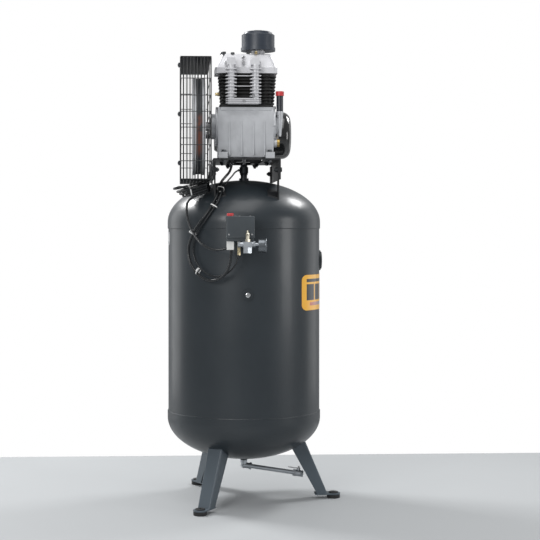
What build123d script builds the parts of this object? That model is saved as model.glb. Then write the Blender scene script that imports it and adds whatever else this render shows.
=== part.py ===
from build123d import *
import math
import os

# Vertical receiver compressor, in millimetres. +Z is up and the origin is on the tank's axis at the
# floor. -Y is the front, with the name plate and the gauge; +Y is the belt side.
# -X is the side with the pump and the pressure switch; +X is the motor side.

# --- driving dimensions -------------------------------------------------------------------------
TANK_R = 300
SHELL_T = 3
HEAD_R = TANK_R + SHELL_T
SEAM_LOW_Z = 354
SEAM_HIGH_Z = 1076
HEAD_SKIRT = 24
HEAD_RISE = 166
SHELL_LAP = 20
DOME_TOP_Z = SEAM_HIGH_Z + HEAD_SKIRT + HEAD_RISE
DOME_BOTTOM_Z = SEAM_LOW_Z - HEAD_SKIRT - HEAD_RISE

FOOT_CIRCLE_R = 358
FOOT_ANGLES = {"leg_front": -90, "leg_rear": 30, "leg_near": 150}
FOOT_PAD_R = 26
FOOT_PLATE_Z = 15
FOOT_PLATE_T = 5
FOOT_HOLE_R = 6.25
FOOT_NECK_R = 11
LEG_T = 4
LEG_WIDTH_TOP = 64
LEG_WIDTH_BOTTOM = 54

DECK_TOP_Z = 1343
DECK_T = 6
DECK_X = 235
DECK_Y = 130
DECK_FLANGE = 80

PUMP_X = -130
CRANK_Z = 1470
CRANKCASE_TOP_Z = 1540
CRANK_THROW = 30
ROD_LENGTH = 130
CYLINDER_Y = (52, -56)
BORE_R = 39
CYLINDER_TOP_Z = 1671
VALVE_PLATE_T = 9
HEAD_BASE_Z = CYLINDER_TOP_Z + VALVE_PLATE_T
HEAD_TOP_Z = 1748
PISTON_CLEARANCE = 0.3
SHAFT_R = 17.5
FIT = 0.05

MOTOR_X = 158
MOTOR_Z = 1456
COWL_R = 96
MOTOR_SHAFT_R = 14
FLYWHEEL_R = 188
FLYWHEEL_PITCH_R = 180
PULLEY_PITCH_R = 50
BELT_Y = 182
BELT_W = 22
BELT_GAP = 0.35

GUARD_X = (-360, 245)
GUARD_Y = (137, 255)
GUARD_Z = (1258, 1716)

SWITCH_Y = 33
SWITCH_Z = (1028, 1120)
SWITCH_X = (-425, -345)
MANIFOLD_Z = 1016


def save(name, part):
    """Label one finished piece and write it under its own name."""
    part.label = name
    export_step(part, "parts/" + name + ".step")
    print(name, len(part.solids()), round(part.volume))


def ring_positions(radius, count, start=0):
    """Centres on a circle, as (a, b) pairs."""
    turns = [math.radians(start + 360 / count * i) for i in range(count)]
    return [(radius * math.cos(a), radius * math.sin(a)) for a in turns]


def drum(radius, length, centre, direction):
    """A solid cylinder that starts at centre and runs along direction."""
    with BuildPart(mode=Mode.PRIVATE) as solid:
        with BuildSketch(Plane(origin=centre, z_dir=direction)):
            Circle(radius)
        extrude(amount=length)
    return solid.part


def tube(outer, inner, length, centre, direction):
    """A round tube that starts at centre and runs along direction."""
    with BuildPart(mode=Mode.PRIVATE) as solid:
        with BuildSketch(Plane(origin=centre, z_dir=direction)):
            Circle(outer)
            Circle(inner, mode=Mode.SUBTRACT)
        extrude(amount=length)
    return solid.part


def hexagon(across, length, centre, direction):
    """A hexagonal bar of a given width across its flats."""
    with BuildPart(mode=Mode.PRIVATE) as solid:
        with BuildSketch(Plane(origin=centre, z_dir=direction)):
            RegularPolygon(across / 2, 6, major_radius=False)
        extrude(amount=length)
    return solid.part


def block(low, high):
    """A plain rectangular block between two corners."""
    size = [b - a for a, b in zip(low, high)]
    middle = [(a + b) / 2 for a, b in zip(low, high)]
    with BuildPart(mode=Mode.PRIVATE) as solid:
        with Locations(Location(middle)):
            Box(*size)
    return solid.part


def hex_bolt(across, head, shank_r, shank, centre, direction):
    """A hexagon bolt: the head stands along direction, the shank goes the other way."""
    back = tuple(-c for c in direction)
    return hexagon(across, head, centre, direction) + drum(shank_r, shank, centre, back)


def joined(pieces):
    """Several pieces as one solid or one group."""
    whole = pieces[0]
    for piece in pieces[1:]:
        whole = whole + piece
    return whole


os.makedirs("parts", exist_ok=True)


# --- tank ---------------------------------------------------------------------------------------
def tank_body(radius, rise):
    """The closed outside form of the tank, used to fit the pieces welded to it."""
    with BuildPart() as body:
        with BuildSketch(Plane.XZ):
            with BuildLine():
                low = SEAM_LOW_Z - HEAD_SKIRT
                high = SEAM_HIGH_Z + HEAD_SKIRT
                Line((0, low - rise), (0, high + rise))
                EllipticalCenterArc((0, high), radius, rise, 0, arc_size=90)
                Line((radius, high), (radius, low))
                EllipticalCenterArc((0, low), radius, rise, 270, arc_size=90)
            make_face()
        revolve(axis=Axis.Z)
    return body.part


def tank_head(name, skirt_z, side, hole_r):
    """One dished end with a straight skirt that laps over the shell, and a port at its pole."""
    skirt_end = skirt_z + side * HEAD_SKIRT
    outer = HEAD_RISE
    inner = HEAD_RISE - SHELL_T
    with BuildPart() as head:
        with BuildSketch(Plane.XZ):
            with BuildLine():
                Line((TANK_R, skirt_z), (HEAD_R, skirt_z))
                Line((HEAD_R, skirt_z), (HEAD_R, skirt_end))
                if side > 0:
                    EllipticalCenterArc((0, skirt_end), HEAD_R, outer, 0, arc_size=90)
                    EllipticalCenterArc((0, skirt_end), TANK_R, inner, 0, arc_size=90)
                else:
                    EllipticalCenterArc((0, skirt_end), HEAD_R, outer, 270, arc_size=90)
                    EllipticalCenterArc((0, skirt_end), TANK_R, inner, 270, arc_size=90)
                Line((0, skirt_end + side * inner), (0, skirt_end + side * outer))
                Line((TANK_R, skirt_end), (TANK_R, skirt_z))
            make_face()
        revolve(axis=Axis.Z)
        with Locations(Location((0, 0, skirt_end + side * outer))):
            Cylinder(hole_r, 4 * SHELL_T + 20, mode=Mode.SUBTRACT)
    save(name, head.part)
    return head.part


SIDE_PORT_Z = 824
INSPECTION_Z = 948
PORT_R = 10
INSPECTION_R = 27

with BuildPart() as shell:
    with BuildSketch(Plane.XY.offset(SEAM_LOW_Z - SHELL_LAP)):
        Circle(TANK_R)
        Circle(TANK_R - SHELL_T, mode=Mode.SUBTRACT)
    extrude(amount=SEAM_HIGH_Z - SEAM_LOW_Z + 2 * SHELL_LAP)
    with BuildSketch(Plane(origin=(0, 0, SIDE_PORT_Z), z_dir=(-1, 0, 0))):
        Circle(PORT_R)
    extrude(amount=TANK_R + 10, mode=Mode.SUBTRACT)
    with BuildSketch(Plane(origin=(0, 0, MANIFOLD_Z), z_dir=(-1, 0, 0))):
        Circle(PORT_R)
    extrude(amount=TANK_R + 10, mode=Mode.SUBTRACT)
    with BuildSketch(Plane(origin=(0, 0, INSPECTION_Z), z_dir=(0, -1, 0))):
        Circle(INSPECTION_R)
    extrude(amount=TANK_R + 10, mode=Mode.SUBTRACT)
save("tank_shell", shell.part)

tank_head("tank_top_head", SEAM_HIGH_Z, 1, PORT_R)
tank_head("tank_bottom_head", SEAM_LOW_Z, -1, PORT_R)

shell_form = drum(TANK_R, SEAM_HIGH_Z, (0, 0, 0), (0, 0, 1))
tank_form = tank_body(HEAD_R, HEAD_RISE)


def boss(outer, inner, reach, centre, direction, form):
    """A welded boss, cut to the wall it stands on."""
    return tube(outer, inner, reach, centre, direction) - form


BOSS_REACH = 9
side_boss = boss(19.5, PORT_R, BOSS_REACH + 12, (12 - TANK_R, 0, SIDE_PORT_Z), (-1, 0, 0), shell_form)
supply_boss = boss(17, PORT_R, BOSS_REACH + 12, (12 - TANK_R, 0, MANIFOLD_Z), (-1, 0, 0), shell_form)
inspection_boss = boss(40, INSPECTION_R, 5 + 12, (0, 12 - TANK_R, INSPECTION_Z), (0, -1, 0), shell_form)
top_boss = boss(19, PORT_R, 8 + 12, (0, 0, DOME_TOP_Z - 12), (0, 0, 1), tank_form)
drain_boss = boss(13.5, PORT_R, 11 + 12, (0, 0, DOME_BOTTOM_Z + 12), (0, 0, -1), tank_form)
save("tank_bosses", joined([side_boss, supply_boss, inspection_boss, top_boss, drain_boss]))

BOSS_FACE_X = -(TANK_R + BOSS_REACH)
plug_centre = (BOSS_FACE_X, 0, SIDE_PORT_Z)
side_plug = hex_bolt(19, 7, PORT_R - FIT, 16, plug_centre, (-1, 0, 0))
side_plug = side_plug + drum(12.5, 2, plug_centre, (-1, 0, 0))
side_plug = side_plug - hexagon(9, 5, (BOSS_FACE_X - 3, 0, SIDE_PORT_Z), (-1, 0, 0))
inspection_face = (0, -(TANK_R + 5), INSPECTION_Z)
inspection_plug = drum(34, 4, inspection_face, (0, -1, 0))
inspection_plug = inspection_plug + drum(INSPECTION_R - FIT, 14, inspection_face, (0, 1, 0))
inspection_plug = inspection_plug - hexagon(17, 3, (0, -(TANK_R + 6.5), INSPECTION_Z), (0, -1, 0))
save("tank_plugs", joined([side_plug, inspection_plug]))

# A thin name plate that follows the shell at the front.
LABEL_ARC = 90
LABEL_H = 137
LABEL_Z = 827
LABEL_T = 0.8
with BuildPart() as front_label:
    with BuildSketch(Plane(origin=(0, 0, LABEL_Z), x_dir=(1, 0, 0), z_dir=(0, -1, 0))):
        RectangleRounded(2 * TANK_R * math.sin(math.radians(LABEL_ARC / 2)), LABEL_H, 22)
    extrude(amount=TANK_R + 10)
    with Locations(Location((0, 0, LABEL_Z))):
        Cylinder(TANK_R + LABEL_T, 2 * LABEL_H, mode=Mode.INTERSECT)
        Cylinder(TANK_R, 2 * LABEL_H, mode=Mode.SUBTRACT)
save("front_label", front_label.part)


# --- legs and feet ------------------------------------------------------------------------------
FOOT_TOP_Z = FOOT_PLATE_Z + FOOT_PLATE_T
LEG_TOP_Z = 262
# Outer and inner edges of a leg seen from its side, as (radius, height).
LEG_OUTER_FOOT = (332, FOOT_TOP_Z)
LEG_OUTER_TOP = (229, LEG_TOP_Z)
LEG_INNER_FOOT = (290, FOOT_TOP_Z)
LEG_INNER_TOP = (156, LEG_TOP_Z)
TOE_R = 27


def leg_wedge(inset, half_top, half_bottom):
    """The leg's side outline, pulled in from its outer face by inset, between two tapering cheeks."""
    with BuildPart() as wedge:
        with BuildSketch(Plane.XZ):
            with BuildLine():
                Polyline(
                    (LEG_OUTER_FOOT[0] - inset, LEG_OUTER_FOOT[1]),
                    (LEG_OUTER_TOP[0] - inset, LEG_OUTER_TOP[1]),
                    LEG_INNER_TOP,
                    LEG_INNER_FOOT,
                    close=True,
                )
            make_face()
        extrude(amount=half_top + 10, both=True)
        with BuildSketch(Plane.YZ.offset(100)):
            with BuildLine():
                Polyline(
                    (-half_bottom, FOOT_TOP_Z),
                    (half_bottom, FOOT_TOP_Z),
                    (half_top, LEG_TOP_Z),
                    (-half_top, LEG_TOP_Z),
                    close=True,
                )
            make_face()
        extrude(amount=300, mode=Mode.INTERSECT)
    return wedge.part


def leg_channel():
    """A folded channel leg with its toe plate, standing along +X; it is turned to its place later."""
    with BuildPart() as leg:
        add(leg_wedge(0, LEG_WIDTH_TOP / 2, LEG_WIDTH_BOTTOM / 2))
        folds = leg.edges().filter_by(lambda e: e.length > 240 and e.center().X > 270)
        fillet(folds, 6)
        add(leg_wedge(-40, LEG_WIDTH_TOP / 2 + 20, LEG_WIDTH_BOTTOM / 2 + 20), mode=Mode.INTERSECT)
        add(leg_core, mode=Mode.SUBTRACT)
        with BuildSketch(Plane.XY.offset(FOOT_PLATE_Z)):
            with BuildLine():
                half = LEG_WIDTH_BOTTOM / 2
                Polyline((FOOT_CIRCLE_R, -TOE_R), (LEG_INNER_FOOT[0] - 8, -half), (LEG_INNER_FOOT[0] - 8, half),
                         (FOOT_CIRCLE_R, TOE_R))
                ThreePointArc((FOOT_CIRCLE_R, TOE_R), (FOOT_CIRCLE_R + TOE_R, 0), (FOOT_CIRCLE_R, -TOE_R))
            make_face()
            with Locations((FOOT_CIRCLE_R, 0)):
                Circle(FOOT_NECK_R, mode=Mode.SUBTRACT)
        extrude(amount=FOOT_PLATE_T)
        add(tank_form, mode=Mode.SUBTRACT)
    return leg.part


with BuildPart() as core:
    add(leg_wedge(LEG_T, LEG_WIDTH_TOP / 2 - LEG_T, LEG_WIDTH_BOTTOM / 2 - LEG_T))
leg_core = core.part

leg_shape = leg_channel()
for leg_name, angle in FOOT_ANGLES.items():
    save(leg_name, Rot(0, 0, angle) * leg_shape)

# Each foot is a rubber bush that clips through its toe plate, drilled for a floor anchor.
with BuildPart() as foot:
    with BuildSketch(Plane.XY):
        Circle(FOOT_PAD_R)
    extrude(amount=FOOT_PLATE_Z)
    fillet(foot.faces().sort_by(Axis.Z)[0].outer_wire().edges(), 2)
    with BuildSketch(Plane.XY.offset(FOOT_PLATE_Z)):
        Circle(FOOT_NECK_R)
    extrude(amount=FOOT_PLATE_T)
    with BuildSketch(Plane.XY.offset(FOOT_TOP_Z)):
        Circle(FOOT_NECK_R + 8)
    extrude(amount=5)
    fillet(foot.faces().sort_by(Axis.Z)[-1].outer_wire().edges(), 3)
    Cylinder(FOOT_HOLE_R, 120, mode=Mode.SUBTRACT)
feet = [Rot(0, 0, a) * Pos(FOOT_CIRCLE_R, 0, 0) * foot.part for a in FOOT_ANGLES.values()]
save("foot_pads", joined(feet))

# --- drain --------------------------------------------------------------------------------------
DRAIN_SLOPE = 9
DRAIN_Z = 133
DRAIN_PIPE_R = 8.5
DRAIN_BORE_R = 5.5
drain_dir = Vector(0, -math.cos(math.radians(DRAIN_SLOPE)), -math.sin(math.radians(DRAIN_SLOPE)))
drain_start = Vector(0, 0, DRAIN_Z)


def along_drain(distance):
    """A point on the drain line's axis."""
    return drain_start + drain_dir * distance


DRAIN_BOSS_FACE_Z = DOME_BOTTOM_Z - 11
elbow = joined([
    drum(11.5, DRAIN_BOSS_FACE_Z - DRAIN_Z, (0, 0, DRAIN_Z), (0, 0, 1)),
    drum(13.5, 7, (0, 0, DRAIN_BOSS_FACE_Z - 7), (0, 0, 1)),
    Pos(0, 0, DRAIN_Z) * Sphere(12.5),
    drum(11.5, 28, along_drain(0), drain_dir),
    drum(14, 8, along_drain(22), drain_dir),
    drum(PORT_R - FIT, 14, (0, 0, DRAIN_BOSS_FACE_Z), (0, 0, 1)),
])
elbow = elbow - drum(DRAIN_PIPE_R + FIT, 14, along_drain(17), drain_dir)
elbow = elbow - drum(DRAIN_BORE_R, 40, along_drain(0), drain_dir)
elbow = elbow - drum(DRAIN_BORE_R, 60, (0, 0, DRAIN_Z), (0, 0, 1))
save("drain_elbow", elbow)

DRAIN_PIPE_END = 198
save("drain_pipe", tube(DRAIN_PIPE_R, DRAIN_BORE_R, DRAIN_PIPE_END - 17, along_drain(17), drain_dir))

# Ball valve at the end of the drain line; its ball and lever turn together about the upright stem.
VALVE_AT = 218
BALL_R = 9
drain_plane = Plane(origin=along_drain(VALVE_AT), x_dir=(1, 0, 0), z_dir=drain_dir)
stem_dir = drain_plane.y_dir if drain_plane.y_dir.Z > 0 else drain_plane.y_dir * -1
ball_room = Pos(*along_drain(VALVE_AT)) * Sphere(BALL_R + 0.1)
with BuildPart() as valve_body:
    with BuildSketch(drain_plane.offset(-20)):
        RegularPolygon(12.5, 6, major_radius=False)
    extrude(amount=11)
    with BuildSketch(drain_plane.offset(-10)):
        Circle(13)
    extrude(amount=20)
    with BuildSketch(drain_plane.offset(9)):
        RegularPolygon(11.5, 6, major_radius=False)
    extrude(amount=12)
    add(drum(6.5, 17, along_drain(VALVE_AT), stem_dir))
    add(ball_room, mode=Mode.SUBTRACT)
    add(drum(DRAIN_PIPE_R + FIT, 12, along_drain(VALVE_AT - 22), drain_dir), mode=Mode.SUBTRACT)
    add(drum(DRAIN_BORE_R, 50, along_drain(VALVE_AT - 20), drain_dir), mode=Mode.SUBTRACT)
    add(drum(7.5, 12, along_drain(VALVE_AT + 11), drain_dir), mode=Mode.SUBTRACT)
    add(drum(3.05, 40, along_drain(VALVE_AT), stem_dir), mode=Mode.SUBTRACT)
save("drain_valve_body", valve_body.part)

ball = Pos(*along_drain(VALVE_AT)) * Sphere(BALL_R)
ball = ball - drum(DRAIN_BORE_R, 40, along_drain(VALVE_AT - 20), drain_dir)
lever_base = along_drain(VALVE_AT) + stem_dir * 17.6
lever_plane = Plane(origin=lever_base, x_dir=drain_dir, z_dir=stem_dir)
with BuildPart() as lever:
    with BuildSketch(lever_plane):
        with Locations((-17, 0)):
            SlotOverall(50, 11)
    extrude(amount=2.5)
    add(drum(3, 21, along_drain(VALVE_AT) + stem_dir * (BALL_R - 2), stem_dir))
    add(hexagon(8, 4, lever_base + stem_dir * 2.5, stem_dir))
    add(ball)
save("drain_valve_lever", lever.part)


# --- deck over the tank -------------------------------------------------------------------------
DECK_UNDER_Z = DECK_TOP_Z - DECK_T
PUMP_BOLT_X = 86
PUMP_BOLT_Y = 88
MOTOR_BOLT_X = 62
MOTOR_BOLT_Y = 56
BOLT_R = 5
LEG_PLATE_T = 5
LEG_PLATE_W = 46
LEG_PLATE_X = 208
LEG_BOLT_Z = 1300
PUMP_WINDOW = ((-219, -68), (56, 68))
MOTOR_WINDOW = ((55, -36), (216, 36))


def bolt_places(centre_x, dx, dy):
    """The four corners of a bolt rectangle."""
    return [(centre_x + i * dx, j * dy) for i in (-1, 1) for j in (-1, 1)]


pump_bolts = bolt_places(PUMP_X, PUMP_BOLT_X, PUMP_BOLT_Y)
motor_bolts = bolt_places(MOTOR_X, MOTOR_BOLT_X, MOTOR_BOLT_Y)
with BuildPart() as deck:
    with BuildSketch(Plane.YZ.offset(-DECK_X)):
        with Locations((0, DECK_TOP_Z - DECK_FLANGE / 2)):
            Rectangle(2 * DECK_Y, DECK_FLANGE)
        with Locations((0, DECK_UNDER_Z - DECK_FLANGE / 2)):
            Rectangle(2 * (DECK_Y - DECK_T), DECK_FLANGE, mode=Mode.SUBTRACT)
    extrude(amount=2 * DECK_X)
    fillet(deck.edges().filter_by(Axis.X).group_by(Axis.Z)[-1], DECK_T - 1)
    with BuildSketch(Plane.XY.offset(DECK_UNDER_Z - 1)):
        with Locations(*pump_bolts, *motor_bolts):
            Circle(BOLT_R + 0.5)
        for low, high in (PUMP_WINDOW, MOTOR_WINDOW):
            with Locations(((low[0] + high[0]) / 2, (low[1] + high[1]) / 2)):
                RectangleRounded(high[0] - low[0], high[1] - low[1], 12)
    extrude(amount=DECK_T + 2, mode=Mode.SUBTRACT)
    with BuildSketch(Plane.XZ.offset(-DECK_Y - 1)):
        with Locations(*[(i * LEG_PLATE_X, LEG_BOLT_Z) for i in (-1, 1)]):
            Circle(BOLT_R + 0.5)
    extrude(amount=2 * DECK_Y + 2, mode=Mode.SUBTRACT)
save("platform", deck.part)

# Four folded stays stand on the dome inside the deck's flanges.
STAY_Y = DECK_Y - DECK_T
STAY_FOOT = 44
toe_form = tank_body(HEAD_R + LEG_PLATE_T, HEAD_RISE + LEG_PLATE_T)


def stay(side_x, side_y):
    """One angle stay with a foot that follows the dome."""
    y_out = side_y * STAY_Y
    y_in = side_y * (STAY_Y - LEG_PLATE_T)
    x_mid = side_x * LEG_PLATE_X
    low_y, high_y = min(y_out, y_in), max(y_out, y_in)
    web = block((x_mid - LEG_PLATE_W / 2, low_y, 1120), (x_mid + LEG_PLATE_W / 2, high_y, 1330))
    y_toe = side_y * (STAY_Y - STAY_FOOT)
    low_f, high_f = min(y_out, y_toe), max(y_out, y_toe)
    toe = block((x_mid - LEG_PLATE_W / 2, low_f, 1120), (x_mid + LEG_PLATE_W / 2, high_f, 1330)) & toe_form
    hole = drum(BOLT_R + 0.5, 40, (x_mid, side_y * (STAY_Y - 20), LEG_BOLT_Z), (0, side_y, 0))
    return web + toe - tank_form - hole


save("platform_legs", joined([stay(i, j) for i in (-1, 1) for j in (-1, 1)]))


def through_bolt(centre, direction, grip, across=16, head=9):
    """A bolt and its nut; centre is under the head and direction points out of the head."""
    back = tuple(-c for c in direction)
    nut_face = tuple(c + b * grip for c, b in zip(centre, back))
    bolt = drum(11, 2, centre, direction) + hexagon(across, head, centre, direction)
    bolt = bolt + drum(BOLT_R, grip + 14, centre, back)
    return bolt + drum(11, 2, nut_face, back) + hexagon(across, 9, nut_face, back)


# --- pump: crankcase ----------------------------------------------------------------------------
CASE_X = 78
CASE_Y = 104
CASE_T = 8
CASE_FOOT_T = 24
FRONT_Y = -CASE_Y
REAR_Y = CASE_Y + 4
CASE_Z = 1350
OIL_NECK_Y = -130
OIL_NECK_X = -178
SIGHT_Z = 1404
SIGHT_X = -178
SIGHT_R = 15
CASE_PORT_R = 56
COVER_R = 74
rib_y = [-70, -27, 18, 64]

with BuildPart() as crankcase:
    with BuildSketch(Plane.XZ.offset(-REAR_Y)):
        with BuildLine():
            half = CASE_X
            top = 70
            Polyline((PUMP_X - top, CRANKCASE_TOP_Z), (PUMP_X + top, CRANKCASE_TOP_Z))
            Spline((PUMP_X + top, CRANKCASE_TOP_Z), (PUMP_X + half, CRANK_Z), (PUMP_X + half - 8, CASE_Z),
                   tangents=[(0.3, -1), (-0.1, -1)])
            Line((PUMP_X + half - 8, CASE_Z), (PUMP_X - half + 8, CASE_Z))
            Spline((PUMP_X - half + 8, CASE_Z), (PUMP_X - half, CRANK_Z), (PUMP_X - top, CRANKCASE_TOP_Z),
                   tangents=[(-0.1, 1), (0.3, 1)])
        make_face()
    extrude(amount=REAR_Y - FRONT_Y)
    with BuildSketch(Plane.XY.offset(CRANKCASE_TOP_Z - 12)):
        with Locations((PUMP_X, 0)):
            RectangleRounded(150, 206, 10)
    extrude(amount=12)
    with Locations(Location((PUMP_X, 0, DECK_TOP_Z + CASE_FOOT_T / 2))):
        with Locations(*[(i * (CASE_X + 6), j * 90) for i in (-1, 1) for j in (-1, 1)]):
            Box(30, 34, CASE_FOOT_T)
    for y in rib_y:
        with Locations(Location((PUMP_X, y, (CRANK_Z + CASE_Z) / 2 + 10))):
            Box(2 * CASE_X + 6, 4, CRANKCASE_TOP_Z - CASE_Z - 60)
    sump_z = (CASE_Z + CASE_T, CRANKCASE_TOP_Z - CASE_T)
    with Locations(Location((PUMP_X, (FRONT_Y + REAR_Y) / 2, sum(sump_z) / 2))):
        Box(116, REAR_Y - FRONT_Y - 2 * CASE_T, sump_z[1] - sump_z[0], mode=Mode.SUBTRACT)
    with BuildSketch(Plane.XZ.offset(-FRONT_Y + 1)):
        with Locations((PUMP_X, CRANK_Z)):
            Circle(CASE_PORT_R)
    extrude(amount=-(REAR_Y - FRONT_Y + 2), mode=Mode.SUBTRACT)
    with BuildSketch(Plane.XY.offset(CRANK_Z)):
        with Locations(*[(PUMP_X, y) for y in CYLINDER_Y]):
            Circle(BORE_R + 5)
    extrude(amount=CRANKCASE_TOP_Z - CRANK_Z + 1, mode=Mode.SUBTRACT)
    with BuildSketch(Plane.XY.offset(DECK_TOP_Z - 1)):
        with Locations(*pump_bolts):
            Circle(BOLT_R + 0.5)
    extrude(amount=CASE_FOOT_T + 2, mode=Mode.SUBTRACT)
save("crankcase", crankcase.part)


# --- pump: running gear -------------------------------------------------------------------------
BEARING_R = 40
BEARING_W = 18
FRONT_BEARING_Y = FRONT_Y - 8
REAR_BEARING_Y = REAR_Y + 2
CRANK_END_Y = 206
WEB_T = 10
PIN_R = 13
WEB_R = 44
ROD_W = 22
ROD_EYE_R = 22
PISTON_H = 42
GUDGEON_R = 9


def shaft_part(radius, y_from, y_to, z=CRANK_Z, x=PUMP_X):
    """A round stretch of shaft between two places along Y."""
    return drum(radius, y_to - y_from, (x, y_from, z), (0, 1, 0))


# One throw on each side of the axis, so the two pistons move against each other.
crank = shaft_part(SHAFT_R, FRONT_BEARING_Y + 1, -76)
crank = crank + shaft_part(SHAFT_R, 72, CRANK_END_Y) + shaft_part(SHAFT_R, -36, 32)
for cylinder_y, side in zip(CYLINDER_Y, (1, -1)):
    throw_z = CRANK_Z + side * CRANK_THROW
    crank = crank + shaft_part(PIN_R, cylinder_y - 20, cylinder_y + 20, throw_z)
    for web_y in (cylinder_y - ROD_W / 2 - 4 - WEB_T, cylinder_y + ROD_W / 2 + 4):
        crank = crank + shaft_part(WEB_R, web_y, web_y + WEB_T)
save("crankshaft", crank)

rods = []
pistons = []
for cylinder_y, side in zip(CYLINDER_Y, (1, -1)):
    throw_z = CRANK_Z + side * CRANK_THROW
    gudgeon_z = throw_z + ROD_LENGTH
    y0 = cylinder_y - ROD_W / 2
    rod = drum(ROD_EYE_R, ROD_W, (PUMP_X, y0, throw_z), (0, 1, 0))
    rod = rod + drum(12, ROD_W, (PUMP_X, y0, gudgeon_z), (0, 1, 0))
    rod = rod + block((PUMP_X - 9, cylinder_y - 6, throw_z + 10), (PUMP_X + 9, cylinder_y + 6, gudgeon_z - 8))
    rod = rod + drum(3, 14, (PUMP_X, cylinder_y, throw_z - ROD_EYE_R + 2), (0, 0, -1))
    rod = rod - drum(PIN_R + FIT, 60, (PUMP_X, cylinder_y - 30, throw_z), (0, 1, 0))
    rod = rod - drum(GUDGEON_R + FIT, 60, (PUMP_X, cylinder_y - 30, gudgeon_z), (0, 1, 0))
    rods.append(rod)
    crown = drum(BORE_R - PISTON_CLEARANCE, PISTON_H, (PUMP_X, cylinder_y, gudgeon_z - 20), (0, 0, 1))
    crown = crown - drum(BORE_R - 6, PISTON_H - 8, (PUMP_X, cylinder_y, gudgeon_z - 21), (0, 0, 1))
    for groove in (4, 9, 14):
        groove_z = gudgeon_z - 20 + PISTON_H - groove
        crown = crown - tube(BORE_R + 1, BORE_R - 3, 2, (PUMP_X, cylinder_y, groove_z), (0, 0, -1))
    pin = drum(GUDGEON_R, 2 * (BORE_R - 4), (PUMP_X, cylinder_y - BORE_R + 4, gudgeon_z), (0, 1, 0))
    pistons.append(crown + pin)
save("connecting_rods", joined(rods))
save("pistons", joined(pistons))

bearings = []
for y in (FRONT_BEARING_Y, REAR_BEARING_Y):
    outer_race = tube(BEARING_R, BEARING_R - 7, BEARING_W, (PUMP_X, y, CRANK_Z), (0, 1, 0))
    inner_race = tube(SHAFT_R + 6, SHAFT_R + FIT, BEARING_W, (PUMP_X, y, CRANK_Z), (0, 1, 0))
    balls = []
    for a, b in ring_positions((BEARING_R - 7 + SHAFT_R + 6) / 2, 9):
        balls.append(Pos(PUMP_X + a, y + BEARING_W / 2, CRANK_Z + b) * Sphere(4.7))
    bearings.append(outer_race + inner_race + joined(balls))
save("crank_bearings", joined(bearings))

# Front cover, with the neck of the oil filler and the seat of the sight glass cast on its side.
NECK_Z = (1430, 1526)
NECK_R = 14
NECK_BORE_R = 9
with BuildPart() as cover:
    with BuildSketch(Plane(origin=(PUMP_X, FRONT_Y, CRANK_Z), z_dir=(0, -1, 0))):
        Circle(COVER_R + 6)
        with Locations(*ring_positions(COVER_R, 6, 30)):
            Circle(9)
    extrude(amount=8)
    with BuildSketch(Plane(origin=(PUMP_X, FRONT_Y - 8, CRANK_Z), z_dir=(0, -1, 0))):
        Circle(COVER_R - 16)
    extrude(amount=14, taper=12)
    with BuildSketch(Plane(origin=(PUMP_X, FRONT_Y, CRANK_Z), z_dir=(0, 1, 0))):
        Circle(CASE_PORT_R - 0.3)
    extrude(amount=10)
    with BuildSketch(Plane.XY.offset(NECK_Z[1])):
        with Locations((OIL_NECK_X, OIL_NECK_Y)):
            Circle(NECK_R)
    extrude(amount=-(NECK_Z[1] - NECK_Z[0]), taper=5)
    with Locations(Location((OIL_NECK_X, (FRONT_Y + OIL_NECK_Y) / 2 - 4, (NECK_Z[0] + NECK_Z[1]) / 2 + 6))):
        Box(16, FRONT_Y - OIL_NECK_Y + 8, NECK_Z[1] - NECK_Z[0] - 40)
    with BuildSketch(Plane(origin=(SIGHT_X, FRONT_Y, SIGHT_Z), z_dir=(0, -1, 0))):
        Circle(SIGHT_R + 2)
    extrude(amount=12)
    with BuildSketch(Plane(origin=(PUMP_X, FRONT_Y + 12, CRANK_Z), z_dir=(0, -1, 0))):
        Circle(BEARING_R)
    extrude(amount=12 - FRONT_BEARING_Y + FRONT_Y, mode=Mode.SUBTRACT)
    with BuildSketch(Plane.XY.offset(NECK_Z[1])):
        with Locations((OIL_NECK_X, OIL_NECK_Y)):
            Circle(NECK_BORE_R)
    extrude(amount=-40, mode=Mode.SUBTRACT)
    with BuildSketch(Plane(origin=(SIGHT_X, FRONT_Y - 12, SIGHT_Z), z_dir=(0, 1, 0))):
        Circle(SIGHT_R - 5)
    extrude(amount=8, mode=Mode.SUBTRACT)
save("crankcase_cover", cover.part)

with BuildPart() as housing:
    with BuildSketch(Plane(origin=(PUMP_X, REAR_Y, CRANK_Z), z_dir=(0, 1, 0))):
        Circle(COVER_R + 2)
    extrude(amount=8)
    with BuildSketch(Plane(origin=(PUMP_X, REAR_Y + 8, CRANK_Z), z_dir=(0, 1, 0))):
        Circle(BEARING_R + 9)
    extrude(amount=16)
    with BuildSketch(Plane(origin=(PUMP_X, REAR_Y - 8, CRANK_Z), z_dir=(0, 1, 0))):
        Circle(CASE_PORT_R - 0.3)
    extrude(amount=8)
    with BuildSketch(Plane(origin=(PUMP_X, REAR_Y - 9, CRANK_Z), z_dir=(0, 1, 0))):
        Circle(BEARING_R)
    extrude(amount=REAR_BEARING_Y + BEARING_W - REAR_Y + 9, mode=Mode.SUBTRACT)
    with BuildSketch(Plane(origin=(PUMP_X, REAR_Y, CRANK_Z), z_dir=(0, 1, 0))):
        Circle(SHAFT_R + 0.6)
    extrude(amount=60, mode=Mode.SUBTRACT)
save("bearing_housing", housing.part)

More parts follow.
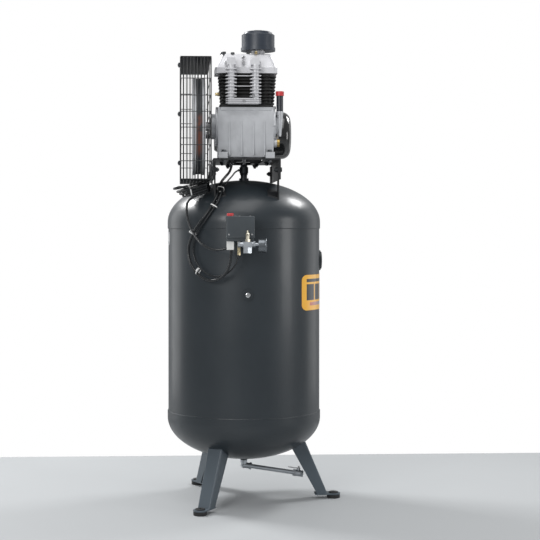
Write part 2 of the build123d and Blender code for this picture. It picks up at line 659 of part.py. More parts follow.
sight_face = (SIGHT_X, FRONT_Y - 12, SIGHT_Z)
sight = tube(SIGHT_R, SIGHT_R - 5, 12, sight_face, (0, -1, 0))
sight = sight + tube(SIGHT_R, SIGHT_R - 8, 2, sight_face, (0, -1, 0))
sight = sight + drum(SIGHT_R - 5, 4, (SIGHT_X, FRONT_Y - 20, SIGHT_Z), (0, -1, 0))
sight = sight + tube(SIGHT_R - 5 - FIT, SIGHT_R - 8, 7, sight_face, (0, 1, 0))
save("sight_glass", sight)

FILLER_TOP_Z = 1586
filler_foot = (OIL_NECK_X, OIL_NECK_Y, NECK_Z[1])
filler = tube(NECK_R - 1, NECK_BORE_R, FILLER_TOP_Z - NECK_Z[1], filler_foot, (0, 0, 1))
filler = filler + tube(NECK_BORE_R - FIT, 6, 20, (OIL_NECK_X, OIL_NECK_Y, NECK_Z[1]), (0, 0, -1))
filler = filler + tube(NECK_BORE_R + 1, 6, 4, (OIL_NECK_X, OIL_NECK_Y, NECK_Z[1]), (0, 0, 1))
save("oil_filler_tube", filler)

with BuildPart() as cap:
    with BuildSketch(Plane.XY.offset(FILLER_TOP_Z)):
        with Locations((OIL_NECK_X, OIL_NECK_Y)):
            Circle(16)
            with Locations(*ring_positions(16.5, 12)):
                Circle(1.5, mode=Mode.SUBTRACT)
    extrude(amount=17)
    fillet(cap.faces().sort_by(Axis.Z)[-1].outer_wire().edges(), 1.2)
    with BuildSketch(Plane.XY.offset(FILLER_TOP_Z)):
        with Locations((OIL_NECK_X, OIL_NECK_Y)):
            Circle(NECK_BORE_R - 0.4)
    extrude(amount=-14)
save("oil_filler_cap", cap.part)

# --- pump: cylinders and head -------------------------------------------------------------------
FIN_PITCH = 13
FIN_T = 4
BARREL_X = 52
BARREL_Y = 96
FIN_X = 72
with BuildPart() as cylinders:
    with BuildSketch(Plane.XY.offset(CRANKCASE_TOP_Z)):
        with Locations((PUMP_X, 0)):
            RectangleRounded(150, 206, 12)
    extrude(amount=10)
    with BuildSketch(Plane.XY.offset(CRANKCASE_TOP_Z + 10)):
        with Locations((PUMP_X, -2)):
            RectangleRounded(2 * BARREL_X, 2 * BARREL_Y, 40)
    extrude(amount=CYLINDER_TOP_Z - CRANKCASE_TOP_Z - 10)
    fin_count = 9
    for i in range(fin_count):
        reach = 104 + i
        with BuildSketch(Plane.XY.offset(CRANKCASE_TOP_Z + 14 + i * FIN_PITCH)):
            with Locations((PUMP_X, -5)):
                RectangleRounded(2 * FIN_X, 2 * reach, 34)
        extrude(amount=FIN_T)
    with BuildSketch(Plane.XY.offset(CRANKCASE_TOP_Z)):
        with Locations(*[(PUMP_X, y) for y in CYLINDER_Y]):
            Circle(BORE_R)
    extrude(amount=CYLINDER_TOP_Z - CRANKCASE_TOP_Z, mode=Mode.SUBTRACT)
save("cylinder_block", cylinders.part)

HEAD_X = 70
HEAD_Y = 120
with BuildPart() as plate:
    with BuildSketch(Plane.XY.offset(CYLINDER_TOP_Z)):
        with Locations((PUMP_X, 0)):
            RectangleRounded(2 * HEAD_X, 2 * HEAD_Y, 12)
        for y in CYLINDER_Y:
            with Locations((PUMP_X - 16, y), (PUMP_X + 16, y)):
                Circle(9, mode=Mode.SUBTRACT)
    extrude(amount=VALVE_PLATE_T - 1)
save("valve_plate", plate.part)

FILTER_Y = -49
FILTER_NECK_Z = 1764
INTAKE_R = 20
with BuildPart() as head:
    with BuildSketch(Plane.XY.offset(HEAD_BASE_Z - 1)):
        with Locations((PUMP_X, 0)):
            RectangleRounded(2 * HEAD_X, 2 * HEAD_Y, 14)
    extrude(amount=14)
    with BuildSketch(Plane.XY.offset(HEAD_BASE_Z + 13)):
        with Locations((PUMP_X, 0)):
            RectangleRounded(2 * HEAD_X - 6, 2 * HEAD_Y - 4, 14)
    with BuildSketch(Plane.XY.offset(HEAD_TOP_Z)):
        with Locations((PUMP_X, -3)):
            RectangleRounded(2 * HEAD_X - 44, 2 * HEAD_Y - 44, 24)
    loft()
    fillet(head.faces().sort_by(Axis.Z)[-1].outer_wire().edges(), 7)
    with BuildSketch(Plane.XY.offset(HEAD_TOP_Z - 4)):
        with Locations((PUMP_X, FILTER_Y)):
            Circle(INTAKE_R + 6)
    extrude(amount=FILTER_NECK_Z - HEAD_TOP_Z + 4)
    with BuildSketch(Plane.XY.offset(HEAD_BASE_Z - 1)):
        for y in CYLINDER_Y:
            with Locations((PUMP_X, y)):
                RectangleRounded(74, 74, 12)
    extrude(amount=34, mode=Mode.SUBTRACT)
    with BuildSketch(Plane.XY.offset(HEAD_BASE_Z + 20)):
        with Locations((PUMP_X, FILTER_Y)):
            Circle(INTAKE_R)
    extrude(amount=100, mode=Mode.SUBTRACT)
save("cylinder_head", head.part)

# --- intercooler: two finned columns and a finned cross bar in front of the cylinders ----------
COOLER_X = -232
COLUMN_Y = (60, -33)
COLUMN_R = 13
COLUMN_Z = (1562, 1722)
COOLER_FIN = 21.5
COOLER_MID_Y = sum(COLUMN_Y) / 2
with BuildPart() as cooler:
    with Locations(Location((COOLER_X, COOLER_MID_Y, 1560))):
        Box(24, 118, 22)
    for i in range(3):
        with Locations(Location((COOLER_X, COOLER_MID_Y, 1552.5 + i * 7.5))):
            Box(34, 134, 2.6)
    with BuildSketch(Plane.XY.offset(COLUMN_Z[0])):
        with Locations(*[(COOLER_X, y) for y in COLUMN_Y]):
            Circle(COLUMN_R)
    extrude(amount=COLUMN_Z[1] - COLUMN_Z[0] - 20)
    for i in range(9):
        with BuildSketch(Plane.XY.offset(1576.5 + i * FIN_PITCH)):
            with Locations(*[(COOLER_X, y) for y in COLUMN_Y]):
                RectangleRounded(36, 2 * COOLER_FIN, 6)
        extrude(amount=3.5)
    for rung_z in (1617.25, 1656.25):
        with Locations(Location((COOLER_X, COOLER_MID_Y, rung_z))):
            Box(10, COLUMN_Y[0] - COLUMN_Y[1] - 10, 2.6)
    for y in COLUMN_Y:
        with Locations(Location((COOLER_X + 18, y, 1712))):
            Box(60, 32, 27)
    add(head.part, mode=Mode.SUBTRACT)
save("intercooler", cooler.part)

# --- intake filter ------------------------------------------------------------------------------
FILTER_R = 64
FILTER_Z = (1765, 1828)
STUD_R = 3
with BuildPart() as filter_base:
    with BuildSketch(Plane.XY.offset(FILTER_NECK_Z)):
        with Locations((PUMP_X, FILTER_Y)):
            Circle(FILTER_R + 3)
            Circle(INTAKE_R, mode=Mode.SUBTRACT)
    extrude(amount=3)
    with BuildSketch(Plane.XY.offset(FILTER_NECK_Z + 3)):
        with Locations((PUMP_X, FILTER_Y)):
            Circle(FILTER_R + 3)
            Circle(FILTER_R + 0.4, mode=Mode.SUBTRACT)
    extrude(amount=9)
    with BuildSketch(Plane.XY.offset(FILTER_NECK_Z)):
        with Locations((PUMP_X, FILTER_Y)):
            Rectangle(2 * INTAKE_R + 4, 8)
            Circle(STUD_R, mode=Mode.SUBTRACT)
    extrude(amount=3)
save("air_filter_base", filter_base.part)
ELEMENT_Z = (FILTER_NECK_Z + 3.2, FILTER_Z[1] - 4)
filter_centre = (PUMP_X, FILTER_Y, ELEMENT_Z[0])
save("air_filter_element", tube(FILTER_R - 10, 30, ELEMENT_Z[1] - ELEMENT_Z[0], filter_centre, (0, 0, 1)))
with BuildPart() as filter_cover:
    with BuildSketch(Plane.XZ.offset(-FILTER_Y)):
        with BuildLine():
            Polyline((PUMP_X, 1839), (PUMP_X + 46, 1839), (PUMP_X + 54, 1836), (PUMP_X + 56, 1828),
                     (PUMP_X + FILTER_R - 3, 1828), (PUMP_X + FILTER_R, 1825), (PUMP_X + FILTER_R, 1767.5),
                     (PUMP_X + FILTER_R - 3, 1767.5), (PUMP_X + FILTER_R - 3, 1824.5), (PUMP_X + 53, 1825),
                     (PUMP_X + 51, 1833), (PUMP_X + 45, 1836), (PUMP_X, 1836), close=True)
        make_face()
    revolve(axis=Axis((PUMP_X, FILTER_Y, 0), (0, 0, 1)))
    with Locations(Location((PUMP_X, FILTER_Y, 1836))):
        Cylinder(STUD_R, 20, mode=Mode.SUBTRACT)
save("air_filter_cover", filter_cover.part)

# --- bolts, nuts and the filter's wing nut ------------------------------------------------------
pump_grip = CASE_FOOT_T + DECK_T
fasteners = [through_bolt((x, y, DECK_UNDER_Z + pump_grip), (0, 0, 1), pump_grip) for x, y in pump_bolts]
MOTOR_FOOT_TOP_Z = 1368
for x, y in motor_bolts:
    fasteners.append(through_bolt((x, y, MOTOR_FOOT_TOP_Z), (0, 0, 1), MOTOR_FOOT_TOP_Z - DECK_UNDER_Z))
for i in (-1, 1):
    for j in (-1, 1):
        face = (i * LEG_PLATE_X, j * DECK_Y, LEG_BOLT_Z)
        fasteners.append(through_bolt(face, (0, j, 0), DECK_T + LEG_PLATE_T, 15, 6))
for x, y in [(PUMP_X + i * 40, y) for i in (-1, 1) for y in (-8, 84)]:
    fasteners.append(hexagon(13, 8, (x, y, HEAD_TOP_Z), (0, 0, 1)))
for a, b in ring_positions(COVER_R, 6, 30):
    fasteners.append(hexagon(10, 6, (PUMP_X + a, FRONT_Y - 8, CRANK_Z + b), (0, -1, 0)))
stud_foot = (PUMP_X, FILTER_Y, FILTER_NECK_Z - 4)
wing = drum(STUD_R, 83, stud_foot, (0, 0, 1)) + drum(6, 4, (PUMP_X, FILTER_Y, 1839), (0, 0, 1))
wing = wing + block((PUMP_X - 2, FILTER_Y - 14, 1840), (PUMP_X + 2, FILTER_Y + 14, 1846))
fasteners.append(wing)
save("bolts_and_nuts", joined(fasteners))

# --- belt drive ---------------------------------------------------------------------------------
RIM_W = 48
GROOVE_W = BELT_W + 1
GROOVE_DEPTH = 16
BELT_BACK = 3
HUB_R = 34
with BuildPart() as flywheel:
    with BuildSketch(Plane(origin=(PUMP_X, BELT_Y - RIM_W / 2, CRANK_Z), z_dir=(0, 1, 0))):
        Circle(FLYWHEEL_R)
        Circle(FLYWHEEL_R - 26, mode=Mode.SUBTRACT)
    extrude(amount=RIM_W)
    with BuildSketch(Plane(origin=(PUMP_X, BELT_Y - RIM_W / 2, CRANK_Z), z_dir=(0, 1, 0))):
        Circle(HUB_R)
    extrude(amount=RIM_W)
    with BuildSketch(Plane(origin=(PUMP_X, BELT_Y - 7, CRANK_Z), z_dir=(0, 1, 0))):
        with PolarLocations(FLYWHEEL_R / 2, 6):
            Rectangle(FLYWHEEL_R - 20, 34)
    extrude(amount=14)
    with BuildSketch(Plane(origin=(PUMP_X, BELT_Y - GROOVE_W / 2, CRANK_Z), z_dir=(0, 1, 0))):
        Circle(FLYWHEEL_R + 5)
        Circle(FLYWHEEL_R - GROOVE_DEPTH, mode=Mode.SUBTRACT)
    extrude(amount=GROOVE_W, mode=Mode.SUBTRACT)
    with BuildSketch(Plane(origin=(PUMP_X, 0, CRANK_Z), z_dir=(0, 1, 0))):
        Circle(SHAFT_R)
    extrude(amount=400, mode=Mode.SUBTRACT)
save("flywheel", flywheel.part)

PULLEY_R = PULLEY_PITCH_R + FLYWHEEL_R - FLYWHEEL_PITCH_R
PULLEY_W = 28
with BuildPart() as pulley:
    with BuildSketch(Plane(origin=(MOTOR_X, BELT_Y - PULLEY_W / 2, MOTOR_Z), z_dir=(0, 1, 0))):
        Circle(PULLEY_R)
        Circle(MOTOR_SHAFT_R, mode=Mode.SUBTRACT)
    extrude(amount=PULLEY_W)
    with BuildSketch(Plane(origin=(MOTOR_X, BELT_Y - GROOVE_W / 2, MOTOR_Z), z_dir=(0, 1, 0))):
        Circle(PULLEY_R + 5)
        Circle(PULLEY_R - GROOVE_DEPTH, mode=Mode.SUBTRACT)
    extrude(amount=GROOVE_W, mode=Mode.SUBTRACT)
save("motor_pulley", pulley.part)


def belt_loop(inset):
    """A solid the width of the belt, wrapped round both wheels at a given depth below their rims."""
    with BuildPart() as loop:
        with BuildSketch(Plane(origin=(0, BELT_Y - BELT_W / 2, 0), x_dir=(1, 0, 0), z_dir=(0, -1, 0))):
            with Locations((PUMP_X, CRANK_Z)):
                Circle(FLYWHEEL_R - inset)
            with Locations((MOTOR_X, MOTOR_Z)):
                Circle(PULLEY_R - inset)
            make_hull()
        extrude(amount=-BELT_W)
    return loop.part


save("v_belt", belt_loop(BELT_BACK) - belt_loop(GROOVE_DEPTH - BELT_GAP))

# --- motor --------------------------------------------------------------------------------------
FRAME_Y = (-96, 84)
STATOR_R = 82
ROTOR_R = 50
AIR_GAP = 0.6
COWL_END_Y = -197


def motor_round(radius, y_from, y_to):
    """A round solid on the motor's axis."""
    return drum(radius, y_to - y_from, (MOTOR_X, y_from, MOTOR_Z), (0, 1, 0))


with BuildPart() as motor:
    with BuildSketch(Plane(origin=(MOTOR_X, FRAME_Y[0], MOTOR_Z), z_dir=(0, 1, 0))):
        Circle(STATOR_R + 5)
        with PolarLocations(STATOR_R + 6, 44):
            Rectangle(8, 3)
    extrude(amount=FRAME_Y[1] - FRAME_Y[0])
    with Locations(Location((MOTOR_X, 0, (MOTOR_FOOT_TOP_Z + 1356) / 2))):
        Box(2 * MOTOR_BOLT_X + 34, 2 * MOTOR_BOLT_Y + 30, MOTOR_FOOT_TOP_Z - 1356)
    with Locations(Location((MOTOR_X, 0, 1380))):
        Box(96, 2 * MOTOR_BOLT_Y, 36)
    with Locations(*[Location((MOTOR_X + i * MOTOR_BOLT_X, 0, (1356 + DECK_TOP_Z) / 2)) for i in (-1, 1)]):
        Box(34, 150, 1356 - DECK_TOP_Z)
    with BuildSketch(Plane(origin=(MOTOR_X, FRAME_Y[0], MOTOR_Z), z_dir=(0, 1, 0))):
        Circle(STATOR_R)
    extrude(amount=FRAME_Y[1] - FRAME_Y[0], mode=Mode.SUBTRACT)
    with BuildSketch(Plane(origin=(MOTOR_X, FRAME_Y[1], MOTOR_Z), z_dir=(0, 1, 0))):
        Circle(STATOR_R + 5)
    extrude(amount=8)
    with BuildSketch(Plane(origin=(MOTOR_X, FRAME_Y[1] + 8, MOTOR_Z), z_dir=(0, 1, 0))):
        Circle(STATOR_R - 6)
    extrude(amount=22, taper=35)
    with BuildSketch(Plane(origin=(MOTOR_X, FRAME_Y[0], MOTOR_Z), z_dir=(0, -1, 0))):
        Circle(STATOR_R + 5)
    extrude(amount=10)
    with BuildSketch(Plane(origin=(MOTOR_X, FRAME_Y[1] - 20, MOTOR_Z), z_dir=(0, 1, 0))):
        Circle(MOTOR_SHAFT_R + FIT)
    extrude(amount=100, mode=Mode.SUBTRACT)
    with BuildSketch(Plane(origin=(MOTOR_X, FRAME_Y[0] - 20, MOTOR_Z), z_dir=(0, 1, 0))):
        Circle(MOTOR_SHAFT_R + FIT)
    extrude(amount=60, mode=Mode.SUBTRACT)
    with BuildSketch(Plane.XY.offset(DECK_TOP_Z - 1)):
        with Locations(*motor_bolts):
            Circle(BOLT_R + 0.5)
    extrude(amount=MOTOR_FOOT_TOP_Z - DECK_TOP_Z + 2, mode=Mode.SUBTRACT)
save("motor_housing", motor.part)
save("motor_stator", motor_round(STATOR_R, -66, 60) - motor_round(ROTOR_R + AIR_GAP, -70, 70))
rotor = motor_round(ROTOR_R, -62, 56) + motor_round(MOTOR_SHAFT_R, -152, 198)
rotor = rotor + motor_round(30, -150, -122)
for i in range(8):
    blade = Pos(MOTOR_X, -136, MOTOR_Z) * Rot(0, 45 * i, 0) * Pos(54, 0, 0) * Box(56, 26, 3)
    rotor = rotor + blade
save("motor_rotor", rotor)
with BuildPart() as cowl:
    with BuildSketch(Plane.XY.offset(MOTOR_Z)):
        with BuildLine():
            r, y0, y1 = COWL_R, COWL_END_Y, FRAME_Y[0] + 6
            Line((MOTOR_X + 58, y0), (MOTOR_X + r - 34, y0))
            CenterArc((MOTOR_X + r - 34, y0 + 34), 34, -90, 90)
            Line((MOTOR_X + r, y0 + 34), (MOTOR_X + r, y1))
            Line((MOTOR_X + r, y1), (MOTOR_X + r - 2, y1))
            Line((MOTOR_X + r - 2, y1), (MOTOR_X + r - 2, y0 + 34))
            CenterArc((MOTOR_X + r - 34, y0 + 34), 32, 0, -90)
            Line((MOTOR_X + r - 34, y0 + 2), (MOTOR_X + 58, y0 + 2))
            Line((MOTOR_X + 58, y0 + 2), (MOTOR_X + 58, y0))
        make_face()
    revolve(axis=Axis((MOTOR_X, 0, MOTOR_Z), (0, 1, 0)))
    with BuildSketch(Plane(origin=(MOTOR_X, COWL_END_Y, MOTOR_Z), z_dir=(0, 1, 0))):
        Circle(60)
        for hole_r in (14, 26, 38, 50):
            with PolarLocations(hole_r, int(hole_r * 0.72)):
                Circle(3.4, mode=Mode.SUBTRACT)
    extrude(amount=2)
save("motor_fan_cowl", cowl.part)
TERMINAL_Z = (1549, 1605)
terminal = block((MOTOR_X - 46, -48, TERMINAL_Z[0]), (MOTOR_X + 46, 62, TERMINAL_Z[1]))
terminal = terminal - block((MOTOR_X - 42, -44, TERMINAL_Z[0] + 4), (MOTOR_X + 42, 58, TERMINAL_Z[1] - 4))
terminal = terminal + block((MOTOR_X - 49, -51, TERMINAL_Z[1] - 8), (MOTOR_X + 49, 65, TERMINAL_Z[1] + 2))
terminal = terminal - block((MOTOR_X - 42, -44, TERMINAL_Z[0] + 4), (MOTOR_X + 42, 58, TERMINAL_Z[1] - 4))
terminal = terminal - drum(8, 30, (MOTOR_X - 60, 45, 1572), (1, 0, 0))
neck = block((MOTOR_X - 34, -36, 1536), (MOTOR_X + 34, 50, TERMINAL_Z[0]))
neck = neck - motor_round(STATOR_R + 10.2, -100, 100)
save("terminal_box", terminal + neck)

# --- belt guard: two flat grilles and the four panels of the rim between them -------------------
GRILLE_T = 4
BAR = 4
RING_R = 34
guard_size = (GUARD_X[1] - GUARD_X[0], GUARD_Z[1] - GUARD_Z[0])
guard_mid = (sum(GUARD_X) / 2, sum(GUARD_Z) / 2)


def grille(plane, size, columns, rows, thickness=GRILLE_T):
    """A flat panel of bars."""
    pitch = ((size[0] - BAR) / columns, (size[1] - BAR) / rows)
    with BuildPart() as panel:
        with BuildSketch(plane):
            Rectangle(*size)
            with GridLocations(pitch[0], pitch[1], columns, rows):
                Rectangle(pitch[0] - BAR, pitch[1] - BAR, mode=Mode.SUBTRACT)
        extrude(amount=thickness)
    return panel.part


def guard_face(y):
    """The plane of an upright grille, seen from the front."""
    return Plane(origin=(guard_mid[0], y, guard_mid[1]), x_dir=(1, 0, 0), z_dir=(0, -1, 0))


inner = grille(guard_face(GUARD_Y[0] + GRILLE_T), guard_size, 14, 9)
for x, z in ((PUMP_X, CRANK_Z), (MOTOR_X, MOTOR_Z)):
    inner = inner + drum(RING_R, GRILLE_T, (x, GUARD_Y[0], z), (0, 1, 0))
    inner = inner - drum(RING_R - BAR, 4 * GRILLE_T, (x, GUARD_Y[0] - GRILLE_T, z), (0, 1, 0))
save("guard_inner_grille", inner)
save("guard_outer_grille", grille(guard_face(GUARD_Y[1]), guard_size, 14, 9))

rim_y = (GUARD_Y[0] + GRILLE_T, GUARD_Y[1] - GRILLE_T)
rim_mid_y = sum(rim_y) / 2
rim_depth = rim_y[1] - rim_y[0]
end_h = guard_size[1] - 2 * GRILLE_T
panels = []
for z in (GUARD_Z[0], GUARD_Z[1] - GRILLE_T):
    flat = Plane(origin=(guard_mid[0], rim_mid_y, z), x_dir=(1, 0, 0), z_dir=(0, 0, 1))
    panels.append(grille(flat, (guard_size[0], rim_depth), 14, 4))
for x in (GUARD_X[0], GUARD_X[1] - GRILLE_T):
    upright = Plane(origin=(x, rim_mid_y, guard_mid[1]), x_dir=(0, 1, 0), z_dir=(1, 0, 0))
    panels.append(grille(upright, (rim_depth, end_h), 7, 7))
clips = []
for z in (1318, 1500, 1682):
    clips.append(block((-358, GUARD_Y[1], z - 9), (-340, GUARD_Y[1] + 8, z + 9)))
spacers = [drum(8, GUARD_Y[0] - DECK_Y, (x, DECK_Y, 1285), (0, 1, 0)) for x in (-150, 150)]
save("guard_rim", joined(panels + clips + spacers))

# --- check valve and delivery pipe --------------------------------------------------------------
TOP_BOSS_Z = DOME_TOP_Z + 8
VALVE_PORT_Z = 1306
check = joined([
    drum(PORT_R - FIT, 16, (0, 0, TOP_BOSS_Z), (0, 0, -1)),
    drum(13, 16, (0, 0, TOP_BOSS_Z), (0, 0, 1)),
    hexagon(30, 8, (0, 0, TOP_BOSS_Z + 14), (0, 0, 1)),
    drum(17.5, 24, (0, 0, TOP_BOSS_Z + 21), (0, 0, 1)),
    hexagon(27, 10, (0, 0, TOP_BOSS_Z + 45), (0, 0, 1)),
    drum(5, 24, (0, 0, VALVE_PORT_Z), (-0.3, 0.954, 0)),
])
check = check - drum(7.5, 30, (0, 0, TOP_BOSS_Z + 41), (0, 0, 1))
check = check - drum(5, 70, (0, 0, TOP_BOSS_Z - 18), (0, 0, 1))
save("check_valve", check)
PIPE_FOOT_Z = TOP_BOSS_Z + 41
PIPE_TOP_Z = 1706
PIPE_END_X = PUMP_X + HEAD_X - 2
with BuildPart() as delivery:
    with BuildLine():
        FilletPolyline((0, 0, PIPE_FOOT_Z), (0, 0, PIPE_TOP_Z), (PIPE_END_X + 1, 0, PIPE_TOP_Z), radius=32)
    with BuildSketch(Plane.XY.offset(PIPE_FOOT_Z)):
        Circle(7.4)
        Circle(5.5, mode=Mode.SUBTRACT)
    sweep()
    add(tube(12, 7.3, 14, (PIPE_END_X, 0, PIPE_TOP_Z), (1, 0, 0)))
    add(head.part, mode=Mode.SUBTRACT)
save("delivery_pipe", delivery.part)

# --- pressure switch ----------------------------------------------------------------------------
SWITCH_HALF_Y = 52
SWITCH_SPLIT_Z = 1040
switch_low = (SWITCH_X[0] + 3, SWITCH_Y - SWITCH_HALF_Y + 2, SWITCH_Z[0])
switch_high = (SWITCH_X[1] - 3, SWITCH_Y + SWITCH_HALF_Y - 2, SWITCH_SPLIT_Z)
BUTTON_AT = (-385, 69)
with BuildPart() as switch_base:
    add(block(switch_low, switch_high))
    fillet(switch_base.edges().filter_by(Axis.Z), 3)
    add(block((-410, 10, SWITCH_SPLIT_Z), (-360, 50, SWITCH_SPLIT_Z + 30)))
    add(drum(5, 60, (*BUTTON_AT, SWITCH_SPLIT_Z), (0, 0, 1)))
save("switch_base", switch_base.part)
with BuildPart() as switch_cover:
    add(block((SWITCH_X[0], SWITCH_Y - SWITCH_HALF_Y, SWITCH_SPLIT_Z),
              (SWITCH_X[1], SWITCH_Y + SWITCH_HALF_Y, SWITCH_Z[1])))
    fillet(switch_cover.edges().filter_by(Axis.Z), 5)
    fillet(switch_cover.faces().sort_by(Axis.Z)[-1].outer_wire().edges(), 3)
    inset = 2.5
    add(block((SWITCH_X[0] + inset, SWITCH_Y - SWITCH_HALF_Y + inset, SWITCH_SPLIT_Z),
              (SWITCH_X[1] - inset, SWITCH_Y + SWITCH_HALF_Y - inset, SWITCH_Z[1] - inset)),
        mode=Mode.SUBTRACT)
    add(drum(9, 20, (*BUTTON_AT, SWITCH_Z[1] - 10), (0, 0, 1)), mode=Mode.SUBTRACT)
save("switch_cover", switch_cover.part)
with BuildPart() as button:
    add(drum(13, 10, (*BUTTON_AT, SWITCH_Z[1] + 1), (0, 0, 1)))
    fillet(button.faces().sort_by(Axis.Z)[-1].outer_wire().edges(), 3)
    add(drum(8.5, 16, (*BUTTON_AT, SWITCH_Z[1] + 1), (0, 0, -1)))
    add(drum(5.1, 15, (*BUTTON_AT, SWITCH_Z[1] - 16), (0, 0, 1)), mode=Mode.SUBTRACT)
save("switch_button", button.part)

# --- manifold, safety valve and gauge -----------------------------------------------------------
SAFETY_AT = (-440, 8)
OUTLET_R = 7.5
OUTLET_Z = 984
ARM_X = -430
GAUGE_Z = 1011
GAUGE_R = 26
GAUGE_LEN = 28
nipple_start = (12 - TANK_R - BOSS_REACH, 0, MANIFOLD_Z)
manifold = joined([
    drum(PORT_R - FIT, 30, (nipple_start[0], 0, MANIFOLD_Z), (-1, 0, 0)),
    hexagon(22, 12, (BOSS_FACE_X - 2, 0, MANIFOLD_Z), (-1, 0, 0)),
    drum(8, 80, (BOSS_FACE_X - 2, 0, MANIFOLD_Z), (-1, 0, 0)),
    block((-452, -8, 1005), (-365, 24, 1026)),
    hexagon(24, 2, (-385, 10, 1026), (0, 0, 1)),
    hexagon(30, 1005 - OUTLET_Z, (*SAFETY_AT, OUTLET_Z), (0, 0, 1)),
    drum(9, 62, (ARM_X, 42, MANIFOLD_Z), (0, -1, 0)),
    hexagon(20, 8, (ARM_X, 44, MANIFOLD_Z), (0, -1, 0)),
    hexagon(20, 8, (ARM_X, -13, MANIFOLD_Z), (0, -1, 0)),
    drum(6, 14, (ARM_X, -20, GAUGE_Z + 5), (0, -1, 0)),
])
manifold = manifold - drum(OUTLET_R, 16, (*SAFETY_AT, OUTLET_Z), (0, 0, 1))
manifold = manifold - drum(3, 90, (-380, 0, MANIFOLD_Z), (1, 0, 0))
save("air_manifold", manifold)
SAFETY_Z = 1026
safety = hexagon(17, 9, (*SAFETY_AT, SAFETY_Z), (0, 0, 1))
safety = safety + drum(7.5, 22, (*SAFETY_AT, SAFETY_Z), (0, 0, 1))
safety = safety - drum(2.6, 14, (*SAFETY_AT, SAFETY_Z + 10), (0, 0, 1))
save("safety_valve", safety)
with BuildPart() as safety_cap:
    with BuildSketch(Plane.XZ.offset(-SAFETY_AT[1])):
        with BuildLine():
            x, z = SAFETY_AT[0], SAFETY_Z + 22.3
            Polyline((x, z - 8), (x + 2.5, z - 8), (x + 2.5, z), (x + 7.5, z), (x + 8, z + 7), (x + 5, z + 10),
                     (x + 5, z + 13), (x + 1.5, z + 19.5), (x, z + 19.5), close=True)
        make_face()
    revolve(axis=Axis((*SAFETY_AT, 0), (0, 0, 1)))
save("safety_valve_cap", safety_cap.part)
gauge_back = (ARM_X, -32, GAUGE_Z)
with BuildPart() as gauge:
    with BuildSketch(Plane(origin=gauge_back, z_dir=(0, -1, 0))):
        Circle(GAUGE_R - 1)
    extrude(amount=GAUGE_LEN)
    with BuildSketch(Plane(origin=(ARM_X, -32 - GAUGE_LEN + 6, GAUGE_Z), z_dir=(0, -1, 0))):
        Circle(GAUGE_R)
    extrude(amount=6)
    with BuildSketch(Plane(origin=(ARM_X, -32 - GAUGE_LEN, GAUGE_Z), z_dir=(0, 1, 0))):
        Circle(GAUGE_R - 3)
    extrude(amount=7, mode=Mode.SUBTRACT)
    add(drum(6, 3, (ARM_X, -31, GAUGE_Z + 5), (0, -1, 0)), mode=Mode.SUBTRACT)
    add(drum(1.05, 12, (ARM_X, -32 - GAUGE_LEN, GAUGE_Z), (0, 1, 0)), mode=Mode.SUBTRACT)
save("gauge_body", gauge.part)
NEEDLE_ANGLE = 225
needle_y = -32 - GAUGE_LEN + 4
with BuildPart() as needle:
    with BuildSketch(Plane(origin=(ARM_X, needle_y, GAUGE_Z), x_dir=(1, 0, 0), z_dir=(0, -1, 0))):
        Circle(3)
        with Locations(Location((0, 0), NEEDLE_ANGLE)):
            Polygon((-6, -1.4), (18, -0.5), (18, 0.5), (-6, 1.4), align=None)
    extrude(amount=1)
    add(drum(1, 8, (ARM_X, needle_y - 1, GAUGE_Z), (0, 1, 0)))
save("gauge_needle", needle.part)

# --- cords --------------------------------------------------------------------------------------
GLAND = ((-414, 57, 996), (-386, 83, SWITCH_Z[0]))
MOTOR_CABLE_R = 5
AIR_TUBE_R = 3
MAINS_R = 4.5
motor_route = [
    (96, 45, 1572), (66, 45, 1569), (36, 47, 1549), (19, 48, 1511), (13, 46, 1464), (11, 44, 1414), (14, 45, 1366),
    (7, 48, 1327), (-28, 57, 1299), (-78, 75, 1279), (-130, 94, 1257), (-183, 106, 1233), (-232, 111, 1205),
    (-262, 131, 1169), (-271, 153, 1132), (-263, 180, 1097), (-246, 202, 1064), (-231, 217, 1028),
    (-225, 224, 990), (-231, 219, 952), (-246, 203, 917), (-268, 175, 889), (-294, 140, 876),
    (-326, 107, 884), (-356, 81, 910), (-379, 69, 945), (-390, 66, 985), (-391, 66, 1002)]
unloader_route = [
    (-7, 22, VALVE_PORT_Z), (-24, 35, 1300), (-56, 48, 1282), (-104, 65, 1264), (-156, 83, 1243), (-207, 92, 1228),
    (-248, 100, 1200), (-270, 122, 1161), (-274, 145, 1124), (-267, 170, 1091), (-252, 190, 1058),
    (-240, 202, 1025), (-237, 207, 990), (-243, 200, 957), (-259, 181, 924), (-283, 150, 901), (-309, 116, 892),
    (-331, 83, 902), (-350, 57, 926), (-367, 41, 955), (-376, 37, 984)]
mains_route = [
    (-400, 80, 1002), (-398, 113, 993), (-382, 146, 999), (-354, 172, 1015), (-314, 194, 1040), (-272, 213, 1072),
    (-246, 226, 1108), (-230, 230, 1142), (-218, 228, 1174), (-206, 220, 1210)]


def cord(name, route, radius):
    """A round cord: straight runs joined by the largest arcs that its corners allow."""
    points = [Vector(*p) for p in route]
    radii = []
    for before, corner, after in zip(points, points[1:], points[2:]):
        turn = (corner - before).get_angle(after - corner)
        shorter = min((corner - before).length, (after - corner).length)
        radii.append(0.45 * shorter / math.tan(math.radians(turn / 2)))
    with BuildPart() as cable:
        with BuildLine() as path:
            FilletPolyline(*points, radius=radii)
        with BuildSketch(Plane(origin=points[0], z_dir=points[1] - points[0])):
            Circle(radius)
        sweep()
    length = sum(e.length for e in path.line.edges())
    print(name, "length", round(length), "radii", [round(r) for r in radii])
    print(name, "volume ratio", cable.part.volume / (math.pi * radius**2 * length))
    save(name, cable.part)


cord("motor_cable", motor_route, MOTOR_CABLE_R)
cord("unloader_tube", unloader_route, AIR_TUBE_R)
cord("mains_cable", mains_route, MAINS_R)

